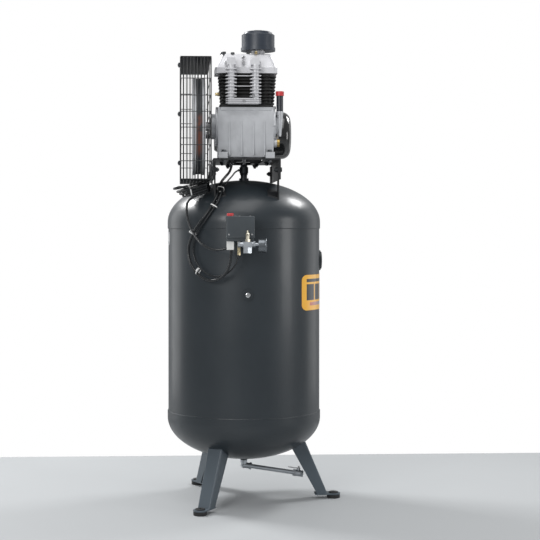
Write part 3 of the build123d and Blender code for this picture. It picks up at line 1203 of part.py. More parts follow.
HANK_L, HANK_W, HANK_T = 150, 52, 30
hank_plane = Plane(origin=(-195, 213, 1223), x_dir=(-0.08, 0.97, -0.21), z_dir=(-0.25, 0.2, 0.94))
with BuildPart() as hank:
    with BuildSketch(hank_plane.offset(-HANK_T / 2)):
        SlotOverall(HANK_L, HANK_W)
    extrude(amount=HANK_T)
    fillet(hank.edges(), 10)
save("mains_hank", hank.part)

UNLOADER_AT = (-376, 37, 976)
unloader_valve = hexagon(12, 12, UNLOADER_AT, (0, 0, 1))
unloader_valve = unloader_valve + drum(5.5, SWITCH_Z[0] - UNLOADER_AT[2], UNLOADER_AT, (0, 0, 1))
gland_block = block(*GLAND)
GLAND_AT = (MOTOR_X - 46, 45, 1572)
terminal_gland = hexagon(22, 12, GLAND_AT, (-1, 0, 0)) + drum(7.8, 8, GLAND_AT, (1, 0, 0))
save("switch_fittings", joined([unloader_valve, gland_block, terminal_gland]))
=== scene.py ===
import math
import bmesh
import bpy
from mathutils import Matrix, Vector


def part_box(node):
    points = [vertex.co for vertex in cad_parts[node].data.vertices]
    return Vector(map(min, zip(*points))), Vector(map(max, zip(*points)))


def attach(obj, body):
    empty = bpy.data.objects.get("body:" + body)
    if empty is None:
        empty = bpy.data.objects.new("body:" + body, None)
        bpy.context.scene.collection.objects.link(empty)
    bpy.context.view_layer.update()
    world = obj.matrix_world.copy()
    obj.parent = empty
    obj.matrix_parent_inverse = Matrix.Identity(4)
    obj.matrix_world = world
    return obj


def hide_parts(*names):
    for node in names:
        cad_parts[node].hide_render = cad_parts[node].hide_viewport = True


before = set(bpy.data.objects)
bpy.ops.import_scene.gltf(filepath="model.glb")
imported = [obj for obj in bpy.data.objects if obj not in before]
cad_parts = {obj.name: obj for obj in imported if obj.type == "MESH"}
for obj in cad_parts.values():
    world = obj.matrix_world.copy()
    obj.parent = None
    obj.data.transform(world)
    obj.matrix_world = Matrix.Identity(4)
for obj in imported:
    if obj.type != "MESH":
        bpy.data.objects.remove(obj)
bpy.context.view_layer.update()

# Looks for the receiver compressor. Metres, +Z up, origin on the tank's axis at the floor;
# the camera stands on the -X side, and the belt guard is on the +Y side.

# --- camera --------------------------------------------------------------------------------------
CAMERA_DISTANCE = 5.412
CAMERA_HEIGHT = 1.073
CAMERA_TURN = math.radians(2.8)
FOCAL_MM = 90.57

camera = bpy.data.objects.new("camera", bpy.data.cameras.new("camera"))
bpy.context.collection.objects.link(camera)
camera.location = (-CAMERA_DISTANCE * math.cos(CAMERA_TURN), CAMERA_DISTANCE * math.sin(CAMERA_TURN),
                   CAMERA_HEIGHT)
camera.rotation_euler = (math.radians(90), 0, math.radians(-90) - CAMERA_TURN)
camera.data.lens = FOCAL_MM
camera.data.sensor_width = 36
camera.data.shift_x = 0.0484
camera.data.shift_y = -0.0761
bpy.context.scene.camera = camera
bpy.context.scene.view_settings.view_transform = "Standard"


def link(obj):
    """Put a new object in the scene."""
    bpy.context.collection.objects.link(obj)
    return obj


def take_slot(obj):
    """Give back the new piece unchanged."""
    return obj


def mesh_object(name, build, material, body="frame", smooth=True):
    """A mesh piece made by a function that fills a bmesh."""
    bm = bmesh.new()
    build(bm)
    bmesh.ops.recalc_face_normals(bm, faces=bm.faces)
    mesh = bpy.data.meshes.new(name)
    bm.to_mesh(mesh)
    bm.free()
    if smooth:
        mesh.shade_smooth()
    obj = link(bpy.data.objects.new(name, mesh))
    mesh.materials.append(material)
    if body:
        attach(obj, body)
    return take_slot(obj)


def stitch(bm, rings, around=True, closed=False):
    """Join rows of points with faces: around closes each row, and closed joins the last row to the first."""
    pairs = zip(rings, rings[1:] + rings[:1]) if closed else zip(rings, rings[1:])
    for here, there in pairs:
        count = len(here)
        for index in range(count if around else count - 1):
            following = (index + 1) % count
            bm.faces.new((here[index], here[following], there[following], there[index]))


def sharpen(obj):
    """Keep the edges of a smooth piece crisp."""
    obj.data.set_sharp_from_angle(angle=math.radians(35))
    return obj


def soft_edges(obj, width, segments=2):
    """Round the edges of a piece a little, so that they catch the light."""
    bevel = obj.modifiers.new("bevel", "BEVEL")
    bevel.width = width
    bevel.segments = segments
    bevel.limit_method = "ANGLE"
    bevel.harden_normals = True
    return obj


# --- materials -----------------------------------------------------------------------------------
class Paint:
    """A material's node tree with a few short ways to add to it."""

    def __init__(self, name, color, rough, metallic=0.0):
        self.material = bpy.data.materials.new(name)
        self.material.use_nodes = True
        self.material.diffuse_color = (*color, 1)
        self.tree = self.material.node_tree
        self.shader = self.tree.nodes["Principled BSDF"]
        self.shader.inputs["Base Color"].default_value = (*color, 1)
        self.shader.inputs["Roughness"].default_value = rough
        self.shader.inputs["Metallic"].default_value = metallic
        self.color = color
        self.rough = rough
        self.last_normal = None

    def node(self, kind, **values):
        made = self.tree.nodes.new(kind)
        for key, value in values.items():
            if key in made.inputs:
                made.inputs[key].default_value = value
            else:
                setattr(made, key, value)
        return made

    def wire(self, source, target):
        self.tree.links.new(source, target)

    def coords(self):
        return self.node("ShaderNodeTexCoord").outputs["Object"]

    def stretched(self, scale):
        mapping = self.node("ShaderNodeMapping", Scale=scale)
        self.wire(self.coords(), mapping.inputs["Vector"])
        return mapping.outputs["Vector"]

    def noise(self, scale, detail=4.0, rough=0.6, vector=None):
        made = self.node("ShaderNodeTexNoise", Scale=scale, Detail=detail, Roughness=rough)
        self.wire(vector or self.coords(), made.inputs["Vector"])
        return made.outputs["Fac"]

    def ramp(self, value, low, high, start=0.3, end=0.7):
        made = self.node("ShaderNodeMapRange")
        self.wire(value, made.inputs["Value"])
        made.inputs["From Min"].default_value = start
        made.inputs["From Max"].default_value = end
        made.inputs["To Min"].default_value = low
        made.inputs["To Max"].default_value = high
        return made.outputs["Result"]

    def calc(self, operation, first, second):
        made = self.node("ShaderNodeMath", operation=operation)
        for socket, value in zip(made.inputs, (first, second)):
            if isinstance(value, float):
                socket.default_value = value
            else:
                self.wire(value, socket)
        return made.outputs[0]

    def along(self, axis):
        """The object's own X, Y or Z."""
        split = self.node("ShaderNodeSeparateXYZ")
        self.wire(self.coords(), split.inputs["Vector"])
        return split.outputs[axis]

    def blend(self, value, first, second):
        made = self.node("ShaderNodeMix", data_type="RGBA")
        self.wire(value, made.inputs["Factor"])
        for socket, color in ((6, first), (7, second)):
            if isinstance(color, tuple):
                made.inputs[socket].default_value = (*color, 1)
            else:
                self.wire(color, made.inputs[socket])
        return made.outputs[2]

    def tint(self, amount, scale=3.0, vector=None):
        """Slow colour change over the surface."""
        dark = tuple(c * (1 - amount) for c in self.color)
        light = tuple(min(1, c * (1 + amount)) for c in self.color)
        value = self.ramp(self.noise(scale, vector=vector), 0, 1)
        mixed = self.blend(value, dark, light)
        self.wire(mixed, self.shader.inputs["Base Color"])
        return mixed

    def uneven_gloss(self, amount, scale=8.0):
        value = self.ramp(self.noise(scale, detail=6), self.rough - amount, self.rough + amount)
        self.wire(value, self.shader.inputs["Roughness"])

    def bump(self, height, strength, distance):
        made = self.node("ShaderNodeBump", Strength=strength, Distance=distance)
        self.wire(height, made.inputs["Height"])
        if self.last_normal:
            self.wire(self.last_normal, made.inputs["Normal"])
        self.last_normal = made.outputs["Normal"]
        self.wire(self.last_normal, self.shader.inputs["Normal"])


def powder_coat(name, color, rough, orange_peel=0.0004, coat=0.0):
    """Sprayed paint with orange peel."""
    paint = Paint(name, color, rough)
    paint.tint(0.12, 2.2)
    paint.uneven_gloss(0.05, 5.0)
    paint.bump(paint.noise(260.0, 2.0), 0.14, orange_peel)
    paint.shader.inputs["Coat Weight"].default_value = coat
    paint.shader.inputs["Coat Roughness"].default_value = 0.12
    return paint


def cast_metal(name, color, rough, metallic=0.75, grain=700.0, depth=0.0005):
    """Shot-blasted or sand-cast metal."""
    metal = Paint(name, color, rough, metallic)
    metal.tint(0.1, 14.0)
    metal.uneven_gloss(0.08, 40.0)
    metal.bump(metal.noise(grain, 3.0, 0.7), 0.35, depth)
    metal.bump(metal.noise(30.0, 3.0), 0.1, 0.002)
    return metal


def machined(name, color, rough, along=(1, 1, 60), metallic=1.0):
    """Turned or drawn metal with fine lines across one axis."""
    metal = Paint(name, color, rough, metallic)
    metal.tint(0.12, 20.0)
    metal.uneven_gloss(0.09, 30.0)
    metal.bump(metal.noise(25.0, 4.0, 0.7, metal.stretched(along)), 0.15, 0.0004)
    return metal


def moulded(name, color, rough, grain=900.0, depth=0.00025):
    """Moulded plastic or rubber with a fine grain."""
    plastic = Paint(name, color, rough)
    plastic.tint(0.14, 9.0)
    plastic.uneven_gloss(0.06, 24.0)
    plastic.bump(plastic.noise(grain, 2.0), 0.3, depth)
    return plastic


tank_paint = powder_coat("tank_paint", (0.023, 0.030, 0.036), 0.36, coat=0.12)
leg_paint = powder_coat("leg_paint", (0.075, 0.096, 0.115), 0.42, coat=0.1)
black_paint = powder_coat("black_paint", (0.012, 0.013, 0.015), 0.42)
motor_paint = powder_coat("motor_paint", (0.012, 0.012, 0.012), 0.16, 0.0002, coat=0.8)
wire_black = powder_coat("guard_wire_coat", (0.016, 0.017, 0.018), 0.32, 0.0001, coat=0.2)
aluminium = cast_metal("cast_aluminium", (0.52, 0.53, 0.55), 0.5, 0.5)
pale_aluminium = cast_metal("pale_aluminium", (0.62, 0.62, 0.64), 0.5, 0.4, 900.0, 0.0003)
black_iron = cast_metal("black_iron", (0.014, 0.014, 0.014), 0.5, 0.2, 420.0, 0.0009)
steel = machined("steel", (0.46, 0.46, 0.47), 0.34)
zinc = cast_metal("galvanised", (0.50, 0.53, 0.56), 0.38, 0.9, 90.0, 0.0003)
chrome = machined("chrome", (0.72, 0.73, 0.74), 0.12, (40, 1, 1))
brass = machined("brass", (0.66, 0.52, 0.28), 0.32)
pale_brass = machined("pale_brass", (0.60, 0.56, 0.46), 0.34)
dark_bolt = cast_metal("blackened_bolt", (0.07, 0.075, 0.08), 0.42, 0.8)
gauge_case = cast_metal("gauge_case", (0.16, 0.175, 0.19), 0.3, 0.85, 300.0, 0.0002)
copper = machined("winding", (0.32, 0.14, 0.06), 0.4, (60, 60, 1))
foot_rubber = moulded("foot_rubber", (0.014, 0.014, 0.015), 0.62)
belt_rubber = moulded("belt_rubber", (0.020, 0.023, 0.028), 0.5)
cable_black = moulded("cable_black", (0.014, 0.016, 0.018), 0.27, 1400.0, 0.0001)
filter_plastic = moulded("filter_plastic", (0.030, 0.038, 0.052), 0.40)
switch_plastic = moulded("switch_plastic", (0.050, 0.060, 0.068), 0.46, 1300.0)
black_plastic = moulded("black_plastic", (0.022, 0.025, 0.032), 0.35)
white_plastic = moulded("white_nylon", (0.78, 0.78, 0.77), 0.4)
red_plastic = moulded("red_plastic", (0.58, 0.045, 0.05), 0.34)
filter_paper = moulded("filter_paper", (0.42, 0.38, 0.28), 0.8, 300.0, 0.001)


def rust_on_belt():
    """The belt's edge picks up rust dust from the wheel where it wraps closest."""
    low = belt_rubber.ramp(belt_rubber.along("Z"), 0, 1, 1.34, 1.37)
    high = belt_rubber.ramp(belt_rubber.along("Z"), 1, 0, 1.49, 1.51)
    patches = belt_rubber.ramp(belt_rubber.noise(22.0), 0, 1, 0.40, 0.52)
    amount = belt_rubber.calc("MULTIPLY", belt_rubber.calc("MULTIPLY", low, high), patches)
    base = belt_rubber.shader.inputs["Base Color"]
    belt_rubber.wire(belt_rubber.blend(amount, base.links[0].from_socket, (0.15, 0.045, 0.025)), base)


rust_on_belt()


def sight_mix():
    """A bright ring against the cover, with an amber window and brass rim outside it."""
    mix = Paint("sight_mix", (0.6, 0.6, 0.58), 0.3, 0.7)
    outer = mix.ramp(mix.along("Y"), 1, 0, -0.1190, -0.1175)
    grain = mix.ramp(mix.noise(80.0), 0, 1)
    ring = mix.blend(grain, (0.55, 0.56, 0.57), (0.66, 0.66, 0.66))
    amber = mix.blend(grain, (0.42, 0.27, 0.07), (0.56, 0.40, 0.13))
    mix.wire(mix.blend(outer, ring, amber), mix.shader.inputs["Base Color"])
    mix.uneven_gloss(0.08, 40.0)
    mix.bump(mix.noise(300.0, 2.0), 0.1, 0.0002)
    return mix


def label_print():
    """A yellow sign with a dark rule, a row of plain dark panels and a shaded bar, and no lettering."""
    low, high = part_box("front_label")
    label = Paint("label_print", (0.95, 0.50, 0.05), 0.35)

    def band(value, start, stop, edge=0.0006):
        """One between start and stop, and zero outside."""
        rise = label.ramp(value, 0, 1, start - edge, start + edge)
        fall = label.ramp(value, 1, 0, stop - edge, stop + edge)
        return label.calc("MULTIPLY", rise, fall)

    x, z = label.along("X"), label.along("Z")
    border, bar_inset, panel_pitch = 0.022, 0.040, 0.068
    inside = band(x, low.x + border, high.x - border)
    rule = label.calc("MULTIPLY", inside, band(z, high.z - 0.028, high.z - 0.0156))
    repeat = label.calc("MODULO", label.calc("ADD", x, 10 * panel_pitch), panel_pitch)
    row = label.calc("MULTIPLY", inside, band(z, high.z - 0.098, high.z - 0.036))
    panels = label.calc("MULTIPLY", row, band(repeat, 0.004, panel_pitch - 0.004))
    bar = label.calc("MULTIPLY", band(x, low.x + bar_inset, high.x - bar_inset),
                     band(z, high.z - 0.119, high.z - 0.106))
    shade = label.node("ShaderNodeValToRGB")
    label.wire(label.ramp(x, 0, 1, low.x, high.x), shade.inputs["Fac"])
    shade.color_ramp.elements[0].color = (0.80, 0.16, 0.03, 1)
    shade.color_ramp.elements[1].color = (0.30, 0.33, 0.40, 1)
    shade.color_ramp.elements[1].position = 0.35
    yellow = label.blend(label.ramp(label.noise(3.0), 0, 1), (1.0, 0.53, 0.055), (0.97, 0.48, 0.04))
    ink = (0.022, 0.024, 0.028)
    with_bar = label.blend(bar, yellow, shade.outputs["Color"])
    printed = label.blend(label.calc("MAXIMUM", rule, panels), with_bar, ink)
    label.wire(printed, label.shader.inputs["Base Color"])
    label.uneven_gloss(0.05, 12.0)
    label.bump(label.noise(500.0, 2.0), 0.05, 0.0001)
    label.shader.inputs["Coat Weight"].default_value = 0.4
    return label


def fitting_mix():
    """White nylon glands, with brass where the small valve is and black at the motor."""
    mix = Paint("switch_fitting_mix", (0.78, 0.78, 0.77), 0.38)
    is_brass = mix.ramp(mix.along("Y"), 1, 0, 0.0465, 0.0475)
    at_motor = mix.ramp(mix.along("X"), 0, 1, 0.0, 0.01)
    grain = mix.ramp(mix.noise(60.0), 0, 1)
    white = mix.blend(grain, (0.74, 0.74, 0.72), (0.82, 0.82, 0.80))
    metal = mix.blend(grain, (0.52, 0.44, 0.28), (0.66, 0.57, 0.38))
    both = mix.blend(is_brass, white, metal)
    mix.wire(mix.blend(at_motor, both, (0.022, 0.025, 0.03)), mix.shader.inputs["Base Color"])
    metallic = mix.node("ShaderNodeMath", operation="SUBTRACT", use_clamp=True)
    mix.wire(is_brass, metallic.inputs[0])
    mix.wire(at_motor, metallic.inputs[1])
    mix.wire(metallic.outputs[0], mix.shader.inputs["Metallic"])
    mix.uneven_gloss(0.06, 30.0)
    mix.bump(mix.noise(700.0, 2.0), 0.2, 0.0002)
    return mix


NODE_LOOKS = {
    tank_paint: ["tank_shell", "tank_top_head", "tank_bottom_head", "tank_bosses"],
    leg_paint: ["leg_front", "leg_rear", "leg_near"],
    zinc: ["drain_elbow", "drain_pipe", "drain_valve_body", "air_manifold"],
    label_print(): ["front_label"],
    foot_rubber: ["foot_pads"],
    steel: ["drain_valve_lever", "crankshaft", "crank_bearings", "motor_pulley", "motor_rotor",
            "delivery_pipe"],
    black_paint: ["platform", "platform_legs"],
    dark_bolt: ["bolts_and_nuts", "check_valve", "tank_plugs"],
    aluminium: ["crankcase", "crankcase_cover", "bearing_housing", "connecting_rods", "pistons", "flywheel"],
    pale_brass: ["safety_valve", "safety_valve_cap"],
    sight_mix(): ["sight_glass"],
    black_plastic: ["oil_filler_tube", "terminal_box"],
    gauge_case: ["gauge_body"],
    red_plastic: ["oil_filler_cap", "switch_button", "gauge_needle"],
    black_iron: ["cylinder_block"],
    pale_aluminium: ["valve_plate", "cylinder_head", "intercooler"],
    filter_plastic: ["air_filter_base", "air_filter_cover"],
    filter_paper: ["air_filter_element"],
    belt_rubber: ["v_belt"],
    motor_paint: ["motor_housing", "motor_fan_cowl"],
    copper: ["motor_stator"],
    switch_plastic: ["switch_base", "switch_cover"],
    fitting_mix(): ["switch_fittings"],
}
for look, names in NODE_LOOKS.items():
    for node_name in names:
        for material_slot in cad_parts[node_name].material_slots:
            material_slot.material = look.material


# --- cords ---------------------------------------------------------------------------------------
def cord_object(name, points, radius, look):
    """A smooth round cord whose control points are the route's."""
    curve = bpy.data.curves.new(name, "CURVE")
    curve.dimensions = "3D"
    curve.bevel_depth = radius
    curve.bevel_resolution = 4
    curve.resolution_u = 10
    curve.use_fill_caps = True
    spline = curve.splines.new("NURBS")
    spline.points.add(len(points) - 1)
    for spline_point, place in zip(spline.points, points):
        spline_point.co = (*place, 1)
    spline.order_u = 3
    spline.use_endpoint_u = True
    curve.materials.append(look.material)
    obj = link(bpy.data.objects.new(name, curve))
    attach(obj, "frame")
    return take_slot(obj)


motor_route = [
    (0.096, 0.045, 1.572), (0.066, 0.045, 1.569), (0.036, 0.047, 1.549), (0.019, 0.048, 1.511),
    (0.013, 0.046, 1.464), (0.011, 0.044, 1.414), (0.014, 0.045, 1.366), (0.007, 0.048, 1.327),
    (-0.028, 0.057, 1.299), (-0.078, 0.075, 1.279), (-0.130, 0.094, 1.257), (-0.183, 0.106, 1.233),
    (-0.232, 0.111, 1.205), (-0.262, 0.131, 1.169), (-0.271, 0.153, 1.132), (-0.263, 0.180, 1.097),
    (-0.246, 0.202, 1.064), (-0.231, 0.217, 1.028), (-0.225, 0.224, 0.990), (-0.231, 0.219, 0.952),
    (-0.246, 0.203, 0.917), (-0.268, 0.175, 0.889), (-0.294, 0.140, 0.876), (-0.326, 0.107, 0.884),
    (-0.356, 0.081, 0.910), (-0.379, 0.069, 0.945), (-0.390, 0.066, 0.985), (-0.391, 0.066, 1.002)]
unloader_route = [
    (-0.007, 0.022, 1.306), (-0.024, 0.035, 1.300), (-0.056, 0.048, 1.282), (-0.104, 0.065, 1.264),
    (-0.156, 0.083, 1.243), (-0.207, 0.092, 1.228), (-0.248, 0.100, 1.200), (-0.270, 0.122, 1.161),
    (-0.274, 0.145, 1.124), (-0.267, 0.170, 1.091), (-0.252, 0.190, 1.058), (-0.240, 0.202, 1.025),
    (-0.237, 0.207, 0.990), (-0.243, 0.200, 0.957), (-0.259, 0.181, 0.924), (-0.283, 0.150, 0.901),
    (-0.309, 0.116, 0.892), (-0.331, 0.083, 0.902), (-0.350, 0.057, 0.926), (-0.367, 0.041, 0.955),
    (-0.376, 0.037, 0.984)]
mains_route = [
    (-0.400, 0.080, 1.002), (-0.398, 0.113, 0.993), (-0.382, 0.146, 0.999), (-0.354, 0.172, 1.015),
    (-0.314, 0.194, 1.040), (-0.272, 0.213, 1.072), (-0.246, 0.226, 1.108), (-0.230, 0.230, 1.142),
    (-0.218, 0.228, 1.172), (-0.210, 0.210, 1.1945)]

# The hank: four loose turns on the shoulder of the top head, which fan out at their far end.
HANK_MIDDLE = Vector((-0.195, 0.213, 1.223))
hank_long = Vector((-0.08, 0.97, -0.21)).normalized()
hank_up = Vector((-0.25, 0.2, 0.94)).normalized()
hank_side = hank_up.cross(hank_long).normalized()
hank_long = hank_side.cross(hank_up)
CABLE_R = 0.0045
# A turn: its ends' radius, where its near and far ends start, how high each is, and the far end's tilt.
hank_turns = [(0.0270, 0.0440, 0.0080, -0.0165, -0.0165, 0.10),
              (0.0280, 0.0455, 0.0160, -0.0070, -0.0065, 0.12),
              (0.0275, 0.0435, 0.0250, 0.0025, 0.0040, 0.15),
              (0.0285, 0.0450, 0.0345, 0.0110, 0.0190, 0.30)]


def in_hank(along, across, up):
    """A point in the hank's own frame."""
    return HANK_MIDDLE + hank_long * along + hank_side * across + hank_up * up


hank_points = []
for turn_r, near_end, far_end, near_up, far_up, tilt in hank_turns:
    for step in range(12):
        angle = math.radians(105 + 30 * step)
        across = turn_r * math.sin(angle)
        along = turn_r * math.cos(angle)
        if step < 6:
            hank_points.append(in_hank(along - near_end, across, near_up))
        else:
            hank_points.append(in_hank(along + far_end, across, far_up + tilt * across))
tail = [in_hank(0.020, 0.0235, 0.018), in_hank(0.000, 0.014, 0.008), in_hank(-0.018, 0.003, 0.003)]

motor_cable = cord_object("motor_cable_sheath", motor_route, 0.005, cable_black)
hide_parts("motor_cable")
unloader_tube = cord_object("unloader_hose", unloader_route, 0.003, cable_black)
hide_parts("unloader_tube")
mains_cable = cord_object("mains_lead", mains_route + hank_points + tail, CABLE_R, cable_black)
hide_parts("mains_cable", "mains_hank")


def wires(name, paths, radius, look, closed=False):
    """One object of many thin round wires."""
    curve = bpy.data.curves.new(name, "CURVE")
    curve.dimensions = "3D"
    curve.bevel_depth = radius
    curve.bevel_resolution = 2
    curve.use_fill_caps = True
    for path in paths:
        spline = curve.splines.new("POLY")
        spline.points.add(len(path) - 1)
        for spline_point, place in zip(spline.points, path):
            spline_point.co = (*place, 1)
        spline.use_cyclic_u = closed
    curve.materials.append(look.material)
    obj = link(bpy.data.objects.new(name, curve))
    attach(obj, "frame")
    return take_slot(obj)


# Stripped cores with ferrules at the mains lead's end, in the eye of the hank.
CORE_RING_R = 0.0021
FERRULE_LENGTH = 0.007
core_colors = [("core_brown", (0.16, 0.06, 0.02)), ("core_black", (0.012, 0.012, 0.012)),
               ("core_grey", (0.3, 0.3, 0.31)), ("core_blue", (0.03, 0.08, 0.35)),
               ("core_green", (0.08, 0.3, 0.05))]
ferrules = []
for number, (core_name, core_color) in enumerate(core_colors):
    angle = 2 * math.pi * number / len(core_colors)
    out, up = CORE_RING_R * math.cos(angle), CORE_RING_R * math.sin(angle)
    path = [in_hank(-0.016, 0.003 + out, 0.003 + up), in_hank(-0.028, -0.002 + out * 1.1, 0.001 + up * 1.1),
            in_hank(-0.039, -0.005 + out * 1.5, up * 1.5)]
    wires(f"mains_{core_name}", [path], 0.0012, moulded(core_name, core_color, 0.4))
    ferrules.append([path[2], path[2] + (path[2] - path[1]).normalized() * FERRULE_LENGTH])
wires("mains_ferrules", ferrules, 0.0008, chrome)


# --- cable ties ----------------------------------------------------------------------------------
TIE_WIDTH = 0.0045
TIE_HEAD = (0.0075, 0.0065, 0.0055, 1)
TIE_TAIL = (0.004, 0.016, 0.0011, 1)


def cable_tie(name, middle, along, across, half_width, half_height):
    """A nylon strap round a bundle, with its square head and cut tail."""
    along = Vector(along).normalized()
    across = (Vector(across) - along * along.dot(Vector(across))).normalized()
    up = along.cross(across)

    def place(angle, grow, shift):
        c = math.cos(angle)
        s = math.sin(angle)
        x = math.copysign(abs(c) ** 0.75, c) * (half_width + grow)
        z = math.copysign(abs(s) ** 0.75, s) * (half_height + grow)
        return Vector(middle) + across * x + up * z + along * shift

    def build(bm):
        steps = 40
        half = TIE_WIDTH / 2
        section = [(0.0002, -half), (0.0015, -half), (0.0015, half), (0.0002, half)]
        rings = []
        for step in range(steps):
            angle = 2 * math.pi * step / steps
            rings.append([bm.verts.new(place(angle, grow, shift)) for grow, shift in section])
        stitch(bm, rings, closed=True)
        head = bmesh.ops.create_cube(bm, size=1)["verts"]
        tail_strap = bmesh.ops.create_cube(bm, size=1)["verts"]
        turn = Matrix((along, across, up)).transposed().to_4x4()
        top = place(math.pi * 0.5, 0.003, 0)
        bmesh.ops.transform(bm, matrix=Matrix.Translation(top) @ turn @ Matrix.Diagonal(TIE_HEAD), verts=head)
        lean = Matrix.Rotation(math.radians(18), 4, "Y")
        end = Matrix.Translation(top + along * 0.001 + up * 0.004 + across * 0.004)
        bmesh.ops.transform(bm, matrix=end @ turn @ lean @ Matrix.Diagonal(TIE_TAIL), verts=tail_strap)

    soft_edges(mesh_object(name, build, white_plastic.material, smooth=False), 0.0004)


cable_tie("tie_hank", in_hank(0.004, 0.0, -0.004), hank_long, hank_side + hank_up * 0.09, 0.0345, 0.0165)
cable_tie("tie_upper", (-0.207, 0.0995, 1.2255), (-0.9, 0.25, -0.4), (0, 1, 0.2), 0.0130, 0.0095)
cable_tie("tie_shoulder", (-0.263, 0.1265, 1.160), (-0.2, 0.5, -0.85), (0.1, 0.9, 0.4), 0.0130, 0.0085)
cable_tie("tie_side", (-0.247, 0.2055, 1.058), (0.35, 0.4, -0.85), (0, 1, 0.4), 0.0140, 0.0085)
cable_tie("tie_low", (-0.258, 0.1855, 0.912), (-0.55, -0.65, -0.5), (0, -0.6, 0.8), 0.0120, 0.0090)

# --- belt guard ----------------------------------------------------------------------------------
GUARD_LOW = Vector((-0.360, 0.137, 1.258))
GUARD_HIGH = Vector((0.245, 0.255, 1.716))
WIRE_R = 0.0015
GUARD_CORNER = 0.012
guard_rows = [1.326, 1.386, 1.451, 1.510, 1.570, 1.633]
guard_holes = [(-0.130, 1.470, 0.034), (0.158, 1.456, 0.034)]
inner_low = GUARD_LOW + Vector((WIRE_R, WIRE_R, WIRE_R))
inner_high = GUARD_HIGH - Vector((WIRE_R, WIRE_R, WIRE_R))


def guard_loop(y, inset):
    """A rounded rectangle round the guard, in a plane across its depth."""
    points = []
    near, far = inner_low.x + inset, inner_high.x - inset
    bottom, top = inner_low.z + inset, inner_high.z - inset
    for x, z, begin in ((far, top, 0), (near, top, 90), (near, bottom, 180), (far, bottom, 270)):
        turn_x = x - GUARD_CORNER if x > 0 else x + GUARD_CORNER
        turn_z = z - GUARD_CORNER if z > 1.5 else z + GUARD_CORNER
        for step in range(5):
            angle = math.radians(begin + 22.5 * step)
            points.append((turn_x + GUARD_CORNER * math.cos(angle), y,
                           turn_z + GUARD_CORNER * math.sin(angle)))
    return points


def cut_at_holes(start, stop, fixed, along_z):
    """The stretches of a face wire that lie outside the round openings."""
    stretches = [(start, stop)]
    for x, z, radius in guard_holes:
        across, middle = (x, z) if along_z else (z, x)
        gap = abs(fixed - across)
        if gap < radius:
            half = math.sqrt(radius * radius - gap * gap)
            stretches = [(start, middle - half), (middle + half, stop)] if len(stretches) == 1 else (
                stretches[:-1] + [(stretches[-1][0], middle - half), (middle + half, stop)])
    return stretches


LOOPS = 10
COLUMNS = 30
TOP_COLUMNS = 150
FRAME_R = 0.0022
depth = inner_high.y - inner_low.y
loops = [guard_loop(inner_low.y + depth * step / (LOOPS - 1), 0.0) for step in range(LOOPS)]
wires("guard_loops", loops, WIRE_R, wire_black, closed=True)
wires("guard_frame", [guard_loop(y, 0.004) for y in (GUARD_LOW.y + 0.003, GUARD_HIGH.y - 0.003)], FRAME_R,
      wire_black, closed=True)


def column_x(number, count):
    """Where an upright wire stands along the guard."""
    return inner_low.x + (inner_high.x - inner_low.x) * number / count


cross = []
for z in guard_rows:
    for x in (inner_low.x, inner_high.x):
        cross.append([(x, inner_low.y, z), (x, inner_high.y, z)])
for count, z in ((COLUMNS, inner_low.z), (TOP_COLUMNS, inner_high.z)):
    for column in range(1, count):
        x = column_x(column, count)
        cross.append([(x, inner_low.y, z), (x, inner_high.y, z)])
wires("guard_cross_wires", cross, WIRE_R, wire_black)
face = []
for column in range(1, COLUMNS):
    x = column_x(column, COLUMNS)
    face.append([(x, inner_high.y, inner_low.z), (x, inner_high.y, inner_high.z)])
    if column == COLUMNS // 2:
        for low_z, high_z in cut_at_holes(inner_low.z, inner_high.z, x, True):
            face.append([(x, inner_low.y, low_z), (x, inner_low.y, high_z)])
for z in guard_rows:
    face.append([(inner_low.x, inner_high.y - 0.003, z), (inner_high.x, inner_high.y - 0.003, z)])
    for low_x, high_x in cut_at_holes(inner_low.x, inner_high.x, z, False):
        face.append([(low_x, inner_low.y + 0.003, z), (high_x, inner_low.y + 0.003, z)])
guard_faces = wires("guard_faces", face, WIRE_R, wire_black)
rings = []
for x, z, radius in guard_holes:
    rings.append([(x + radius * math.cos(math.radians(10 * step)), inner_low.y,
                   z + radius * math.sin(math.radians(10 * step))) for step in range(36)])
wires("guard_rings", rings, 0.002, wire_black, closed=True)
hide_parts("guard_inner_grille", "guard_outer_grille", "guard_rim")


CLIP_X = -0.350
CLIP_SIZE = (0.014, 0.010, 0.017, 1)


def guard_clips(bm):
    """Moulded clips that join the two halves, each a block with a round button, and the two spacers."""
    for z in (1.318, 1.500, 1.682):
        block = bmesh.ops.create_cube(bm, size=1)["verts"]
        block_place = Matrix.Translation((CLIP_X, 0.2560, z)) @ Matrix.Diagonal(CLIP_SIZE)
        bmesh.ops.transform(bm, matrix=block_place, verts=block)
        button = bmesh.ops.create_cone(bm, cap_ends=True, segments=20, radius1=0.0062, radius2=0.005,
                                       depth=0.004)["verts"]
        spin = Matrix.Rotation(math.radians(-90), 4, "X")
        bmesh.ops.transform(bm, matrix=Matrix.Translation((CLIP_X, 0.2615, z)) @ spin, verts=button)
    for x in (-0.150, 0.150):
        spacer = bmesh.ops.create_cone(bm, cap_ends=True, segments=28, radius1=0.008, radius2=0.008,
                                       depth=0.011)["verts"]
        spin = Matrix.Rotation(math.radians(90), 4, "X")
        bmesh.ops.transform(bm, matrix=Matrix.Translation((x, 0.1355, 1.285)) @ spin, verts=spacer)


soft_edges(mesh_object("guard_clips", guard_clips, black_plastic.material, smooth=False), 0.0012, 3)

